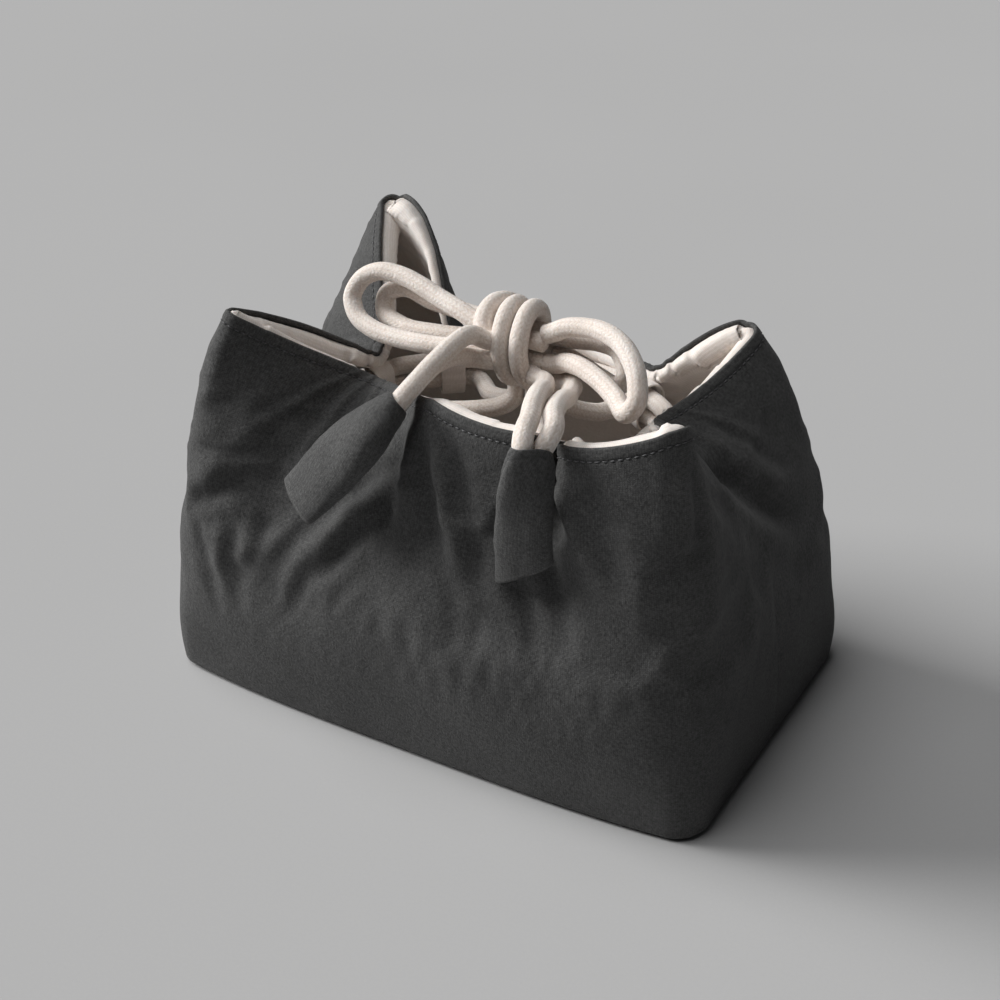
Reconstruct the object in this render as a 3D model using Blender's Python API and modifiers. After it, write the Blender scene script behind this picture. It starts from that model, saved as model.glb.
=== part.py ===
"""Drawstring bag for a small tea set: a padded box of dark cloth with a cream lining.

The walls are one closed loft round the bag. Six cinches pull the mouth inwards, so that
four ears stand at the corners and one petal stands in the middle of each long side. Two
drawcords run through a cloth loop at each cinch and are tied in a doubled bow above the
mouth, and each cord's two ends are sewn into a dark cloth tab.
+X runs along the long side, -Y is the front and +Z is up. The origin is the centre of the
base, on the surface that the bag stands on.
"""
import math

import bmesh
import bpy
import numpy as np
from mathutils import Matrix, Vector
from mathutils.bvhtree import BVHTree

# Driving sizes, in metres
BASE_LENGTH = 0.191
BASE_WIDTH = 0.116
WALL_HEIGHT = 0.126
BASE_CORNER = 0.009
WALL_BULGE = 0.0036
OUTER_CLOTH = 0.0011
BATTING = 0.0022
LINING_CLOTH = 0.0008
CLEARANCE = 0.0003
BASE_PAD = 0.0040
CREASE = 0.010
BOW = 0.004

# Drawcords, the loops that carry them, the knot and the tabs
CORD_DIAMETER = 0.0058
CORD_SPACING = 0.0062
LOOP_CLOTH = 0.0010
LOOP_WIDTH = 0.0080
LOOP_SLACK = 0.0014
LOOP_DROP = 0.0080
KNOT_CENTRE = Vector((0.009, -0.005, 0.119))
KNOT_HALF_DEPTH = 0.0100
KNOT_HALF_HEIGHT = 0.0110
KNOT_THROAT_LENGTH = 0.0160
KNOT_THROAT_ROUND = 0.0020
TAB_CLOTH = 0.0008
TAB_MOUTH_WIDTH = 0.0150
TAB_MOUTH_DEPTH = 0.0098
TAB_END_WIDTH = 0.0190
TAB_END_DEPTH = 0.0046
TAB_SLANT = 0.0050

# Counts and cross-section steps
CORD_STEP_SHARE = 1.5
KNOT_TURNS = 1.9
KNOT_STEPS = 34
LEAD_DIP_SHARE = 0.4
TAB_SIDES = 16
TAB_RINGS = 7
row_shares = (0.0, 0.07, 0.18, 0.31, 0.44, 0.56, 0.67, 0.77, 0.85, 0.91, 0.96, 1.0)
BATTING_TOP_ROW = 7

# One row for each turning point of the rim, from the left front ear round to the left
# cinch: wall, place along the wall, x and y as shares of the half base, height, crease,
# lean and lift of the wall below, then the bows of the run to the next point: rim
# outwards, rim upwards, and the belly of the wall below it
rim_shares = (
    (0, 0.028, -0.769, -0.836, 1.000, 0.36, 0.60, 0.73, 0.40, 0.10, 0.40),
    (0, 0.23, -0.377, -0.310, 0.813, 0.5, 0.80, 0.90, -0.50, -0.40, 0.75),
    (0, 0.46, 0.021, -0.862, 0.933, 0.9, 0.30, 0.80, 0.35, -0.25, 0.25),
    (0, 0.65, 0.387, -0.931, 0.929, 0.5, 0.30, 0.80, 0.00, 0.00, 0.00),
    (0, 0.74, 0.429, -0.569, 0.841, 0.4, 0.80, 0.90, 0.00, 0.00, 0.00),
    (0, 0.83, 0.471, -0.931, 0.921, 0.5, 0.30, 0.80, 0.60, -0.35, 0.50),
    (0, 0.972, 0.816, -0.891, 1.008, 0.4, 0.40, 0.76, 0.00, 0.00, 0.00),
    (1, 0.045, 0.849, -0.764, 1.008, 0.4, 0.40, 0.76, 0.25, -0.25, 0.50),
    (1, 0.49, 0.555, -0.138, 0.841, 0.5, 0.80, 0.90, 0.25, -0.50, 0.50),
    (1, 0.955, 0.745, 0.671, 0.968, 0.4, 0.60, 0.73, 0.00, 0.00, 0.00),
    (2, 0.028, 0.680, 0.760, 0.968, 0.4, 0.60, 0.73, 0.75, 0.75, 0.50),
    (2, 0.22, 0.398, 0.448, 0.825, 0.5, 0.80, 0.90, 0.00, 0.00, 0.50),
    (2, 0.36, 0.157, 0.655, 0.810, 0.8, 0.60, 0.80, 0.00, 0.25, 0.50),
    (2, 0.58, -0.209, 0.655, 0.810, 0.8, 0.60, 0.80, 0.00, 0.00, 0.50),
    (2, 0.72, -0.325, 0.310, 0.810, 0.5, 0.80, 0.90, 1.00, 2.75, 0.50),
    (2, 0.972, -0.702, 0.774, 1.083, 0.36, 1.05, 0.70, 0.00, 0.00, 0.00),
    (3, 0.045, -0.754, 0.691, 1.083, 0.36, 1.05, 0.70, 0.35, 0.50, 2.20),
    (3, 0.50, -0.471, -0.017, 0.794, 0.5, 0.80, 0.90, 0.85, 0.75, 0.75),
    (3, 0.955, -0.823, -0.750, 1.000, 0.36, 0.60, 0.73, 0.00, 0.00, 0.00),
)
CINCHES = {"front_left": 1, "front_right": 4, "right": 8, "back_right": 11,
           "back_left": 14, "left": 17}
RIGHT_SEAM = 8
LEFT_SEAM = 17
STATIONS = len(rim_shares)

# Routes of the free cords, points chosen by hand along each one
CORD_ROUTES = {
    "left_bow_loop_outer": (
        (0.00050, -0.00820, 0.12230), (-0.00470, -0.00820, 0.12310), (-0.0117, -0.0070, 0.1252),
        (-0.0217, -0.0040, 0.1266), (-0.03020, -0.00180, 0.12820), (-0.0387, 0.0000, 0.1291),
        (-0.0466, 0.0006, 0.1286), (-0.0531, -0.0002, 0.1248), (-0.0554, -0.0024, 0.1192),
        (-0.0521, -0.0052, 0.1149), (-0.0447, -0.0078, 0.1128), (-0.0342, -0.0098, 0.1127),
        (-0.0221, -0.0112, 0.1138), (-0.0122, -0.0106, 0.1150), (-0.0047, -0.0084, 0.1158),
        (0.00070, -0.00820, 0.11580)),
    "left_bow_loop_inner": (
        (0.0007, -0.0018, 0.1221), (-0.0045, -0.0018, 0.1221), (-0.0105, 0.0006, 0.1212),
        (-0.0168, 0.0042, 0.1197), (-0.0310, 0.0056, 0.1203), (-0.0410, 0.0055, 0.1224),
        (-0.0472, 0.0048, 0.1190), (-0.0462, 0.0019, 0.1148), (-0.0387, -0.0012, 0.1130),
        (-0.0232, -0.0022, 0.1137), (-0.0120, -0.0020, 0.1150), (-0.0045, -0.0018, 0.1158),
        (0.0007, -0.0018, 0.1158)),
    "right_bow_loop_outer": (
        (0.01750, -0.00820, 0.12500), (0.02000, -0.00820, 0.12620), (0.0238, -0.0086, 0.1285),
        (0.0331, -0.0105, 0.1313), (0.0427, -0.0150, 0.1325), (0.0505, -0.0205, 0.1310),
        (0.0558, -0.0260, 0.1269), (0.0576, -0.0296, 0.1220), (0.0546, -0.0292, 0.1177),
        (0.0484, -0.0238, 0.1185), (0.0396, -0.0176, 0.1196), (0.0307, -0.0129, 0.1198),
        (0.02440, -0.00970, 0.11800), (0.0214, -0.0084, 0.1162), (0.01770, -0.00820, 0.11580)),
    "right_bow_loop_inner": (
        (0.0173, -0.0018, 0.1221), (0.0218, -0.0018, 0.1221), (0.0340, -0.0026, 0.1236),
        (0.0410, -0.0062, 0.1236), (0.0448, -0.0098, 0.1195), (0.0420, -0.0084, 0.1142),
        (0.03450, -0.00460, 0.11300), (0.0270, -0.0026, 0.1146), (0.0218, -0.0018, 0.1158),
        (0.0173, -0.0018, 0.1158)),
    "left_tail_cord_front": (
        (0.0013, -0.0158, 0.1226), (-0.0010, -0.0183, 0.1245), (-0.0013, -0.0235, 0.1260),
        (-0.0017, -0.0295, 0.1254), (-0.00230, -0.03700, 0.12380), (-0.0034, -0.0445, 0.1209),
        (-0.0044, -0.0510, 0.1181), (-0.0047, -0.0545, 0.1169), (-0.0059, -0.0568, 0.1154)),
    "left_tail_cord_back": (
        (0.0016, -0.0159, 0.1162), (-0.0020, -0.0190, 0.1174), (-0.0037, -0.0255, 0.1199),
        (-0.00550, -0.03330, 0.12000), (-0.00660, -0.04080, 0.11760), (-0.0076, -0.0473, 0.1146),
        (-0.0078, -0.0506, 0.1132), (-0.0085, -0.0520, 0.1123)),
    "right_tail_root_front": (
        (0.0176, -0.0140, 0.1132), (0.0206, -0.0156, 0.1138), (0.0232, -0.0188, 0.1149),
        (0.02444, -0.02153, 0.11543), (0.02494, -0.02266, 0.11563)),
    "right_tail_cord_front": (
        (0.02506, -0.02294, 0.11567), (0.02556, -0.02407, 0.11587), (0.0280, -0.0300, 0.1186),
        (0.0314, -0.0385, 0.1216), (0.0350, -0.0480, 0.1229), (0.0380, -0.0550, 0.1229),
        (0.0395, -0.0604, 0.1220), (0.0409, -0.0639, 0.1204), (0.04150, -0.06510, 0.11750)),
    "right_tail_root_back": (
        (0.0176, -0.0054, 0.1082), (0.0240, -0.0076, 0.1106), (0.0288, -0.0122, 0.1124),
        (0.03103, -0.01814, 0.11345), (0.03145, -0.01931, 0.11361)),
    "right_tail_cord_back": (
        (0.03155, -0.01959, 0.11365), (0.03197, -0.02076, 0.11381), (0.0354, -0.0310, 0.1178),
        (0.03880, -0.04080, 0.12090), (0.0423, -0.0492, 0.1226), (0.0451, -0.0546, 0.1218),
        (0.0450, -0.0576, 0.1194), (0.0441, -0.0594, 0.1169), (0.0438, -0.0601, 0.1150)),
}

# Each tab's axis: its mouth, the point that its upper part aims at, and its end, as shares
# of the half base and the wall height
tab_axis_shares = {
    "left_tab": ((-0.0681, -0.9172, 0.9103), (-0.1246, -1.0879, 0.8595),
                 (-0.356, -1.1138, 0.6508)),
    "right_tab": ((0.4461, -1.0724, 0.9317), (0.4429, -1.1517, 0.8524),
                 (0.423, -1.0621, 0.6238)),
}
TAB_FACES = {"left_tab": (-0.3, -0.8, 0.5), "right_tab": (0.0, -1.0, 0.12)}
TAB_MOUTH_TWISTS = {"left_tab": math.radians(61), "right_tab": math.radians(-67)}

BROWN_GREY = (0.045, 0.045, 0.047)
CREAM = (0.72, 0.66, 0.58)
COTTON = (0.78, 0.73, 0.66)
WADDING = (0.80, 0.80, 0.78)


def clear_scene():
    """Remove what a new scene holds."""
    for obj in list(bpy.data.objects):
        bpy.data.objects.remove(obj, do_unlink=True)


def make_material(name, colour, roughness):
    """A plain Principled material with the piece's colour and roughness."""
    material = bpy.data.materials.new(name)
    material.use_nodes = True
    shader = material.node_tree.nodes["Principled BSDF"]
    shader.inputs["Base Color"].default_value = (*colour, 1.0)
    shader.inputs["Roughness"].default_value = roughness
    shader.inputs["Metallic"].default_value = 0.0
    return material


def make_collection(name):
    collection = bpy.data.collections.new(name)
    bpy.context.scene.collection.children.link(collection)
    return collection


def add_object(name, data, collection, colour, roughness=0.9):
    """Wrap mesh or curve data in a named object with its own material."""
    obj = bpy.data.objects.new(name, data)
    collection.objects.link(obj)
    data.materials.append(make_material(name + "_material", colour, roughness))
    return obj


def filleted(points, creases, bows, t):
    """The point at t, in stations, on a closed polygon with rounded corners."""
    count = len(points)
    k = int(math.floor(t)) % count
    f = t - math.floor(t)
    after = (k + 1) % count
    length = np.linalg.norm(points[after] - points[k])
    bow = bows[k] * 4 * f * (1 - f)
    near, side = (k, 1) if f < 0.5 else (after, -1)
    distance = length * min(f, 1 - f)
    before_corner, corner, after_corner = (points[(near + i) % count] for i in (-1, 0, 1))
    back = before_corner - corner
    ahead = after_corner - corner
    reach_back = min(creases[near], 0.5 * np.linalg.norm(back))
    reach_ahead = min(creases[near], 0.5 * np.linalg.norm(ahead))
    reach = reach_ahead if side == 1 else reach_back
    if distance >= reach:
        return points[k] + (points[after] - points[k]) * f + bow
    start = corner + back / np.linalg.norm(back) * reach_back
    end = corner + ahead / np.linalg.norm(ahead) * reach_ahead
    q = 0.5 + 0.5 * side * distance / reach
    cosine = np.dot(back, ahead) / np.linalg.norm(back) / np.linalg.norm(ahead)
    pull = 2 * q * (1 - q) * math.sqrt(0.5 * (1 - cosine))
    weights = (1 - q) ** 2, pull, q * q
    return (weights[0] * start + weights[1] * corner + weights[2] * end) / sum(weights) + bow


class WallForm:
    """The outer surface of the four walls, from the base outline up to the rim."""

    def __init__(self):
        half = np.array([BASE_LENGTH / 2, BASE_WIDTH / 2])
        corners = half * np.array([(-1, -1), (1, -1), (1, 1), (-1, 1)])
        outwards = np.array([(0, -1), (1, 0), (0, 1), (-1, 0)], float)
        table = np.array(rim_shares)
        walls = table[:, 0].astype(int)
        along = table[:, 1:2]
        base_xy = corners[walls] * (1 - along) + corners[(walls + 1) % 4] * along
        self.base = np.column_stack([base_xy, np.zeros(STATIONS)])
        self.rim = np.column_stack([table[:, 2:4] * half, table[:, 4] * WALL_HEIGHT])
        self.rim_crease = table[:, 5] * CREASE
        at_corner = np.minimum(table[:, 1], 1 - table[:, 1]) < 0.1
        corner = BASE_CORNER * math.tan(math.pi / 8) * at_corner
        self.base_crease = np.maximum(corner, CLEARANCE)
        self.belly_crease = np.where(corner > 0, 1.2 * corner, 1.5 * self.rim_crease)
        rim_out = table[:, 8:9] * BOW * outwards[walls]
        belly_out = (table[:, 8:9] + table[:, 10:11]) * BOW * outwards[walls]
        rise = table[:, 9:10] * BOW
        self.rim_bow = np.hstack([rim_out, rise])
        self.belly_bow = np.hstack([belly_out, rise])
        self.no_bow = np.zeros((STATIONS, 3))
        full = self.base[:, :2] + self.outward(self.base) * WALL_BULGE
        lean = table[:, 6:7]
        belly_xy = self.rim[:, :2] + (full - self.rim[:, :2]) * lean
        self.belly = np.column_stack([belly_xy, self.rim[:, 2] * table[:, 7]])

    def outward(self, points):
        """Horizontal directions away from the base rectangle at points on its outline."""
        half = np.array([BASE_LENGTH / 2, BASE_WIDTH / 2])
        into_corner = (np.abs(points[:, :2]) - (half - BASE_CORNER)) / BASE_CORNER
        direction = np.clip(into_corner, 0, 1) * np.sign(points[:, :2])
        return direction / np.linalg.norm(direction, axis=1, keepdims=True)

    def grid(self, columns, rows):
        """Points of the outer surface, one line of points for each row."""
        base = np.array([filleted(self.base, self.base_crease, self.no_bow, t) for t in columns])
        rim = np.array([filleted(self.rim, self.rim_crease, self.rim_bow, t) for t in columns])
        upper = np.array([filleted(self.belly, self.belly_crease, self.belly_bow, t)
                          for t in columns])
        lower = base.copy()
        lower[:, :2] += self.outward(base) * 1.8 * WALL_BULGE
        lower[:, 2] = 0.45 * rim[:, 2]
        v = np.array(rows)[:, None, None]
        return ((1 - v) ** 3 * base + 3 * v * (1 - v) ** 2 * lower
                + 3 * v * v * (1 - v) * upper + v ** 3 * rim)


def wall_columns(form):
    """Places round the rim: each crease's start, middle and end, and long runs' middles."""
    columns = []
    for k in range(STATIONS):
        length = np.linalg.norm(form.rim[(k + 1) % STATIONS] - form.rim[k])
        first = min(form.rim_crease[k] / length, 0.45)
        last = 1 - min(form.rim_crease[(k + 1) % STATIONS] / length, 0.45)
        if k in (RIGHT_SEAM, LEFT_SEAM):
            half_gap = 0.5 * CLEARANCE / length
            columns.append(k + half_gap)
        else:
            columns.append(float(k))
        if last - first < 0.2:
            columns.append(k + 0.5)
            continue
        columns.append(k + first)
        if last - first > 0.35:
            columns.append(k + 0.5 * (first + last))
        columns.append(k + last)
        if k + 1 in (RIGHT_SEAM, LEFT_SEAM):
            columns.append(k + 1 - 0.5 * CLEARANCE / length)
    return columns


def surface_normals(grid):
    """Directions out of the walls at the points of a grid that closes round the bag."""
    along = np.roll(grid, -1, axis=1) - np.roll(grid, 1, axis=1)
    up = np.gradient(grid, axis=0)
    normals = np.cross(along, up)
    return normals / np.linalg.norm(normals, axis=2, keepdims=True)


def layer_offsets(first, last):
    """How far a layer lies in from the outer surface, row by row, drawn in at the rim."""
    offsets = []
    for i in range(len(row_shares)):
        drawn = max(0.0, (i - BATTING_TOP_ROW - 1) / (len(row_shares) - BATTING_TOP_ROW - 2))
        offsets.append(first + (last - first) * drawn)
    return np.array(offsets)


def add_shell(name, outside, inside, columns, collection, colour):
    """A cloth shell lofted between its outer and inner surfaces and closed at its edges."""
    faces_out, faces_in = outside[:, columns], inside[:, columns]
    rows, count = faces_out.shape[:2]
    back = rows * count
    at = [[i * count + j for j in range(count)] for i in range(rows)]
    faces = []
    for i in range(rows - 1):
        for j in range(count - 1):
            a, b, c, d = at[i][j], at[i][j + 1], at[i + 1][j + 1], at[i + 1][j]
            faces += [(a, b, c), (a, c, d)]
            faces += [(back + c, back + b, back + a), (back + d, back + c, back + a)]
    edge = at[0] + [row[-1] for row in at[1:]] + at[-1][-2::-1] + [r[0] for r in at[-2:0:-1]]
    for a, b in zip(edge, edge[1:] + edge[:1]):
        faces.append((b, a, back + a, back + b))
    mesh = bpy.data.meshes.new(name)
    points = np.concatenate([faces_out.reshape(-1, 3), faces_in.reshape(-1, 3)])
    mesh.from_pydata(points.tolist(), [], faces)
    mesh.shade_smooth()
    return add_object(name, mesh, collection, colour)


def add_plate(name, outline, bottom, thickness, collection, colour):
    """A flat piece of the base, from its outline and its lowest level."""
    curve = bpy.data.curves.new(name, "CURVE")
    curve.dimensions = "2D"
    curve.fill_mode = "BOTH"
    curve.extrude = thickness / 2
    spline = curve.splines.new("POLY")
    spline.points.add(len(outline) - 1)
    for point, (x, y) in zip(spline.points, outline):
        point.co = (x, y, 0, 1)
    spline.use_cyclic_u = True
    plate = add_object(name, curve, collection, colour)
    plate.location.z = bottom + thickness / 2
    return plate


def inset_outline(form, columns, inset):
    """The base outline moved in by a distance, without the doubled points at the seams."""
    kept = [t for t in columns if abs(t - round(t)) > CLEARANCE or t == round(t)]
    base = np.array([filleted(form.base, form.base_crease, form.no_bow, t) for t in kept])
    return base[:, :2] - form.outward(base) * inset


def smooth_route(points, step):
    """Evenly spaced points on a smooth curve through the route's own points."""
    route = [Vector(p) for p in points]
    runs = [b - a for a, b in zip(route, route[1:])]
    runs = [runs[0]] + runs + [runs[-1]]
    slopes = [(a / a.length * b.length + b / b.length * a.length) / (a.length + b.length)
              for a, b in zip(runs, runs[1:])]
    dense = []
    for a, b, from_a, to_b in zip(route, route[1:], slopes, slopes[1:]):
        size = (b - a).length
        for i in range(12):
            u = i / 12
            dense.append(a * (1 + 2 * u) * (1 - u) ** 2 + from_a * size * u * (1 - u) ** 2
                         + b * u * u * (3 - 2 * u) - to_b * size * u * u * (1 - u))
    dense.append(route[-1])
    lengths = [0.0]
    for a, b in zip(dense, dense[1:]):
        lengths.append(lengths[-1] + (b - a).length)
    count = max(3, round(lengths[-1] / step) + 1)
    wanted = np.linspace(0, lengths[-1], count)
    wanted = np.insert(wanted, (1, count - 1), (0.3 * wanted[1], lengths[-1] - 0.3 * wanted[1]))
    axes = [np.interp(wanted, lengths, [p[i] for p in dense]) for i in range(3)]
    return [Vector(p) for p in zip(*axes)]


def add_cord(name, points, collection, colour, step=CORD_STEP_SHARE * CORD_DIAMETER):
    """A round cord along a route."""
    curve = bpy.data.curves.new(name, "CURVE")
    curve.dimensions = "3D"
    curve.bevel_depth = CORD_DIAMETER / 2
    curve.bevel_resolution = 2
    curve.use_fill_caps = True
    places = smooth_route(points, step) if step else points
    spline = curve.splines.new("POLY")
    spline.points.add(len(places) - 1)
    for point, place in zip(spline.points, places):
        point.co = (*place, 1)
    return add_object(name, curve, collection, colour)


def lining_faces():
    """Points and faces of both halves of the lining, which carry the cloth loops."""
    points, faces = [], []
    for half in ("front", "back"):
        mesh = bpy.data.objects[half + "_lining"].data
        faces += [[len(points) + i for i in face.vertices] for face in mesh.polygons]
        points += [vertex.co for vertex in mesh.vertices]
    return points, faces


class Cinch:
    """Where one cloth loop holds the drawcords, against the lining at a cinch."""

    def __init__(self, wall, before, tip, after):
        inwards = (KNOT_CENTRE - tip) * Vector((1, 1, 0))
        inwards.normalize()
        across = Vector((inwards.y, -inwards.x, 0))
        run = (after - before) * Vector((1, 1, 0))
        self.heading = (across + run.normalized()).normalized()
        self.outwards = self.heading.cross(Vector((0, 0, 1)))
        half_loop = CORD_DIAMETER / 2 + LOOP_SLACK + LOOP_CLOTH
        lining = OUTER_CLOTH + BATTING + LINING_CLOTH + 3 * CLEARANCE
        middle = tip + inwards * (lining + half_loop + LOOP_WIDTH)
        middle.z -= LOOP_DROP + CORD_SPACING / 2
        gaps = []
        sides = [(side * half_loop, share * CORD_SPACING / 2)
                 for side in (-1, 1) for share in (-0.6, -0.2, 0.2, 0.6)]
        for x, z in racetrack(half_loop, CORD_SPACING / 2, 18) + sides:
            for share in (-1, -0.75, -0.5, -0.25, 0, 0.25, 0.5, 0.75, 1):
                start = middle + self.outwards * x + self.heading * share * LOOP_WIDTH / 2
                hit = wall.ray_cast(start + Vector((0, 0, z)), -inwards)
                if hit[0]:
                    gaps.append(hit[3])
        self.middle = middle - inwards * (min(gaps) - 3 * CLEARANCE)
        self.upper = self.middle + Vector((0, 0, CORD_SPACING / 2))
        self.lower = self.middle - Vector((0, 0, CORD_SPACING / 2))


def racetrack(radius, half_run, steps):
    """An outline with two straight sides and two half-round ends."""
    points = []
    for sign in (1, -1):
        for i in range(steps + 1):
            angle = math.pi * i / steps - (0 if sign == 1 else math.pi)
            points.append((radius * math.cos(angle), sign * half_run + radius * math.sin(angle)))
    return points


def add_cord_loop(name, cinch, collection):
    """A cloth loop round both drawcords, sewn in behind the lining."""
    inner = CORD_DIAMETER / 2 + LOOP_SLACK
    half_run = CORD_SPACING / 2
    curve = bpy.data.curves.new(name, "CURVE")
    curve.dimensions = "2D"
    curve.fill_mode = "BOTH"
    curve.extrude = LOOP_WIDTH / 2
    for radius in (inner + LOOP_CLOTH, inner):
        outline = racetrack(radius, half_run, 6)
        spline = curve.splines.new("POLY")
        spline.points.add(len(outline) - 1)
        for point, (x, y) in zip(spline.points, outline):
            point.co = (x, y, 0, 1)
        spline.use_cyclic_u = True
    loop = add_object(name, curve, collection, CREAM)
    axes = Matrix((cinch.outwards, Vector((0, 0, 1)), -cinch.heading))
    loop.matrix_world = Matrix.Translation(cinch.middle) @ axes.transposed().to_4x4()
    return loop


def drawcord_route(cinches, order, turn, level, start, end):
    """A drawcord's run from the knot, straight through each cloth loop, and back up."""
    points = [start]
    for name in order:
        place = getattr(cinches[name], level)
        half = cinches[name].heading * turn * LOOP_WIDTH / 2
        points += [place - 1.6 * half, place - 0.5 * half, place + 0.5 * half, place + 1.6 * half]
    points.append(end)
    for index, share in ((-1, LEAD_DIP_SHARE), (1, 1 - LEAD_DIP_SHARE)):
        a, b = (points[0], points[1]) if index == 1 else (points[-2], points[-1])
        dip = a.lerp(b, share)
        dip.z = min(a.z, b.z)
        points.insert(index, dip)
    return points


def add_knot(collection):
    """The throat that the bow's cords share and the two turns that bind it."""
    radius = min(KNOT_HALF_DEPTH, KNOT_HALF_HEIGHT) - CORD_DIAMETER / 2 - CLEARANCE
    bpy.ops.mesh.primitive_cylinder_add(vertices=16, radius=radius, depth=KNOT_THROAT_LENGTH)
    throat = bpy.context.active_object
    throat.name = "bow_knot_throat"
    throat.location = KNOT_CENTRE
    throat.rotation_euler = (0, math.pi / 2, 0)
    throat.data.materials.append(make_material("bow_knot_throat_material", COTTON, 0.9))
    for owner in list(throat.users_collection):
        owner.objects.unlink(throat)
    collection.objects.link(throat)
    bevel = throat.modifiers.new("Soft_ends", "BEVEL")
    bevel.width = KNOT_THROAT_ROUND
    bevel.segments = 2
    bevel.limit_method = "ANGLE"
    turns = []
    for i in range(KNOT_STEPS + 1):
        share = i / KNOT_STEPS
        angle = 2 * math.pi * KNOT_TURNS * (share - 0.5)
        turns.append(KNOT_CENTRE + Vector((
            CORD_SPACING * KNOT_TURNS * (share - 0.5),
            KNOT_HALF_DEPTH * math.cos(angle),
            KNOT_HALF_HEIGHT * math.sin(angle))))
    add_cord("bow_knot_wraps", turns, collection, COTTON, step=0)


def tab_section(width, depth, inset):
    """One closed cross-section of a tab, flatter at its sides than an ellipse."""
    points = []
    for i in range(TAB_SIDES):
        angle = 2 * math.pi * i / TAB_SIDES
        x, y = math.cos(angle), math.sin(angle)
        points.append(((width / 2 - inset) * math.copysign(abs(x) ** 0.8, x),
                       (depth / 2 - inset) * math.copysign(abs(y) ** 0.8, y)))
    return points


def add_tab(name, slant, collection):
    """A cloth pouch over the sewn cord ends: open at its mouth, flat and slanted below."""
    reach = Vector((BASE_LENGTH / 2, BASE_WIDTH / 2, WALL_HEIGHT))
    mouth, aim, end = (Vector(shares) * reach for shares in tab_axis_shares[name])
    side = (end - mouth).cross(Vector(TAB_FACES[name])).normalized()
    bm = bmesh.new()

    def ring(share, inset, lift):
        width = TAB_MOUTH_WIDTH + (TAB_END_WIDTH - TAB_MOUTH_WIDTH) * share
        depth = TAB_MOUTH_DEPTH + (TAB_END_DEPTH - TAB_MOUTH_DEPTH) * share ** 0.7
        centre = mouth.lerp(aim, share).lerp(aim.lerp(end, share), share)
        along = (aim.lerp(end, share) - mouth.lerp(aim, share)).normalized()
        twist = Matrix.Rotation(TAB_MOUTH_TWISTS[name] * (1 - share), 3, along)
        across = twist @ (side - along * side.dot(along)).normalized()
        front = across.cross(along)
        points = []
        for x, y in tab_section(width, depth, inset):
            slide = share * slant * 2 * x / width - lift
            points.append(bm.verts.new(centre + along * slide + across * x + front * y))
        return points

    shares = [i / (TAB_RINGS - 1) for i in range(TAB_RINGS)]
    outside = [ring(share, 0, 0) for share in reversed(shares)]
    inside = [ring(share, TAB_CLOTH, TAB_CLOTH * share) for share in shares]
    rings = outside + inside
    for a, b in zip(rings, rings[1:]):
        for i in range(TAB_SIDES):
            j = (i + 1) % TAB_SIDES
            bm.faces.new((a[i], a[j], b[j], b[i]))
    bm.faces.new(rings[0])
    bm.faces.new(rings[-1][::-1])
    bmesh.ops.recalc_face_normals(bm, faces=bm.faces)
    mesh = bpy.data.meshes.new(name)
    bm.to_mesh(mesh)
    bm.free()
    return add_object(name, mesh, collection, BROWN_GREY)


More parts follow.
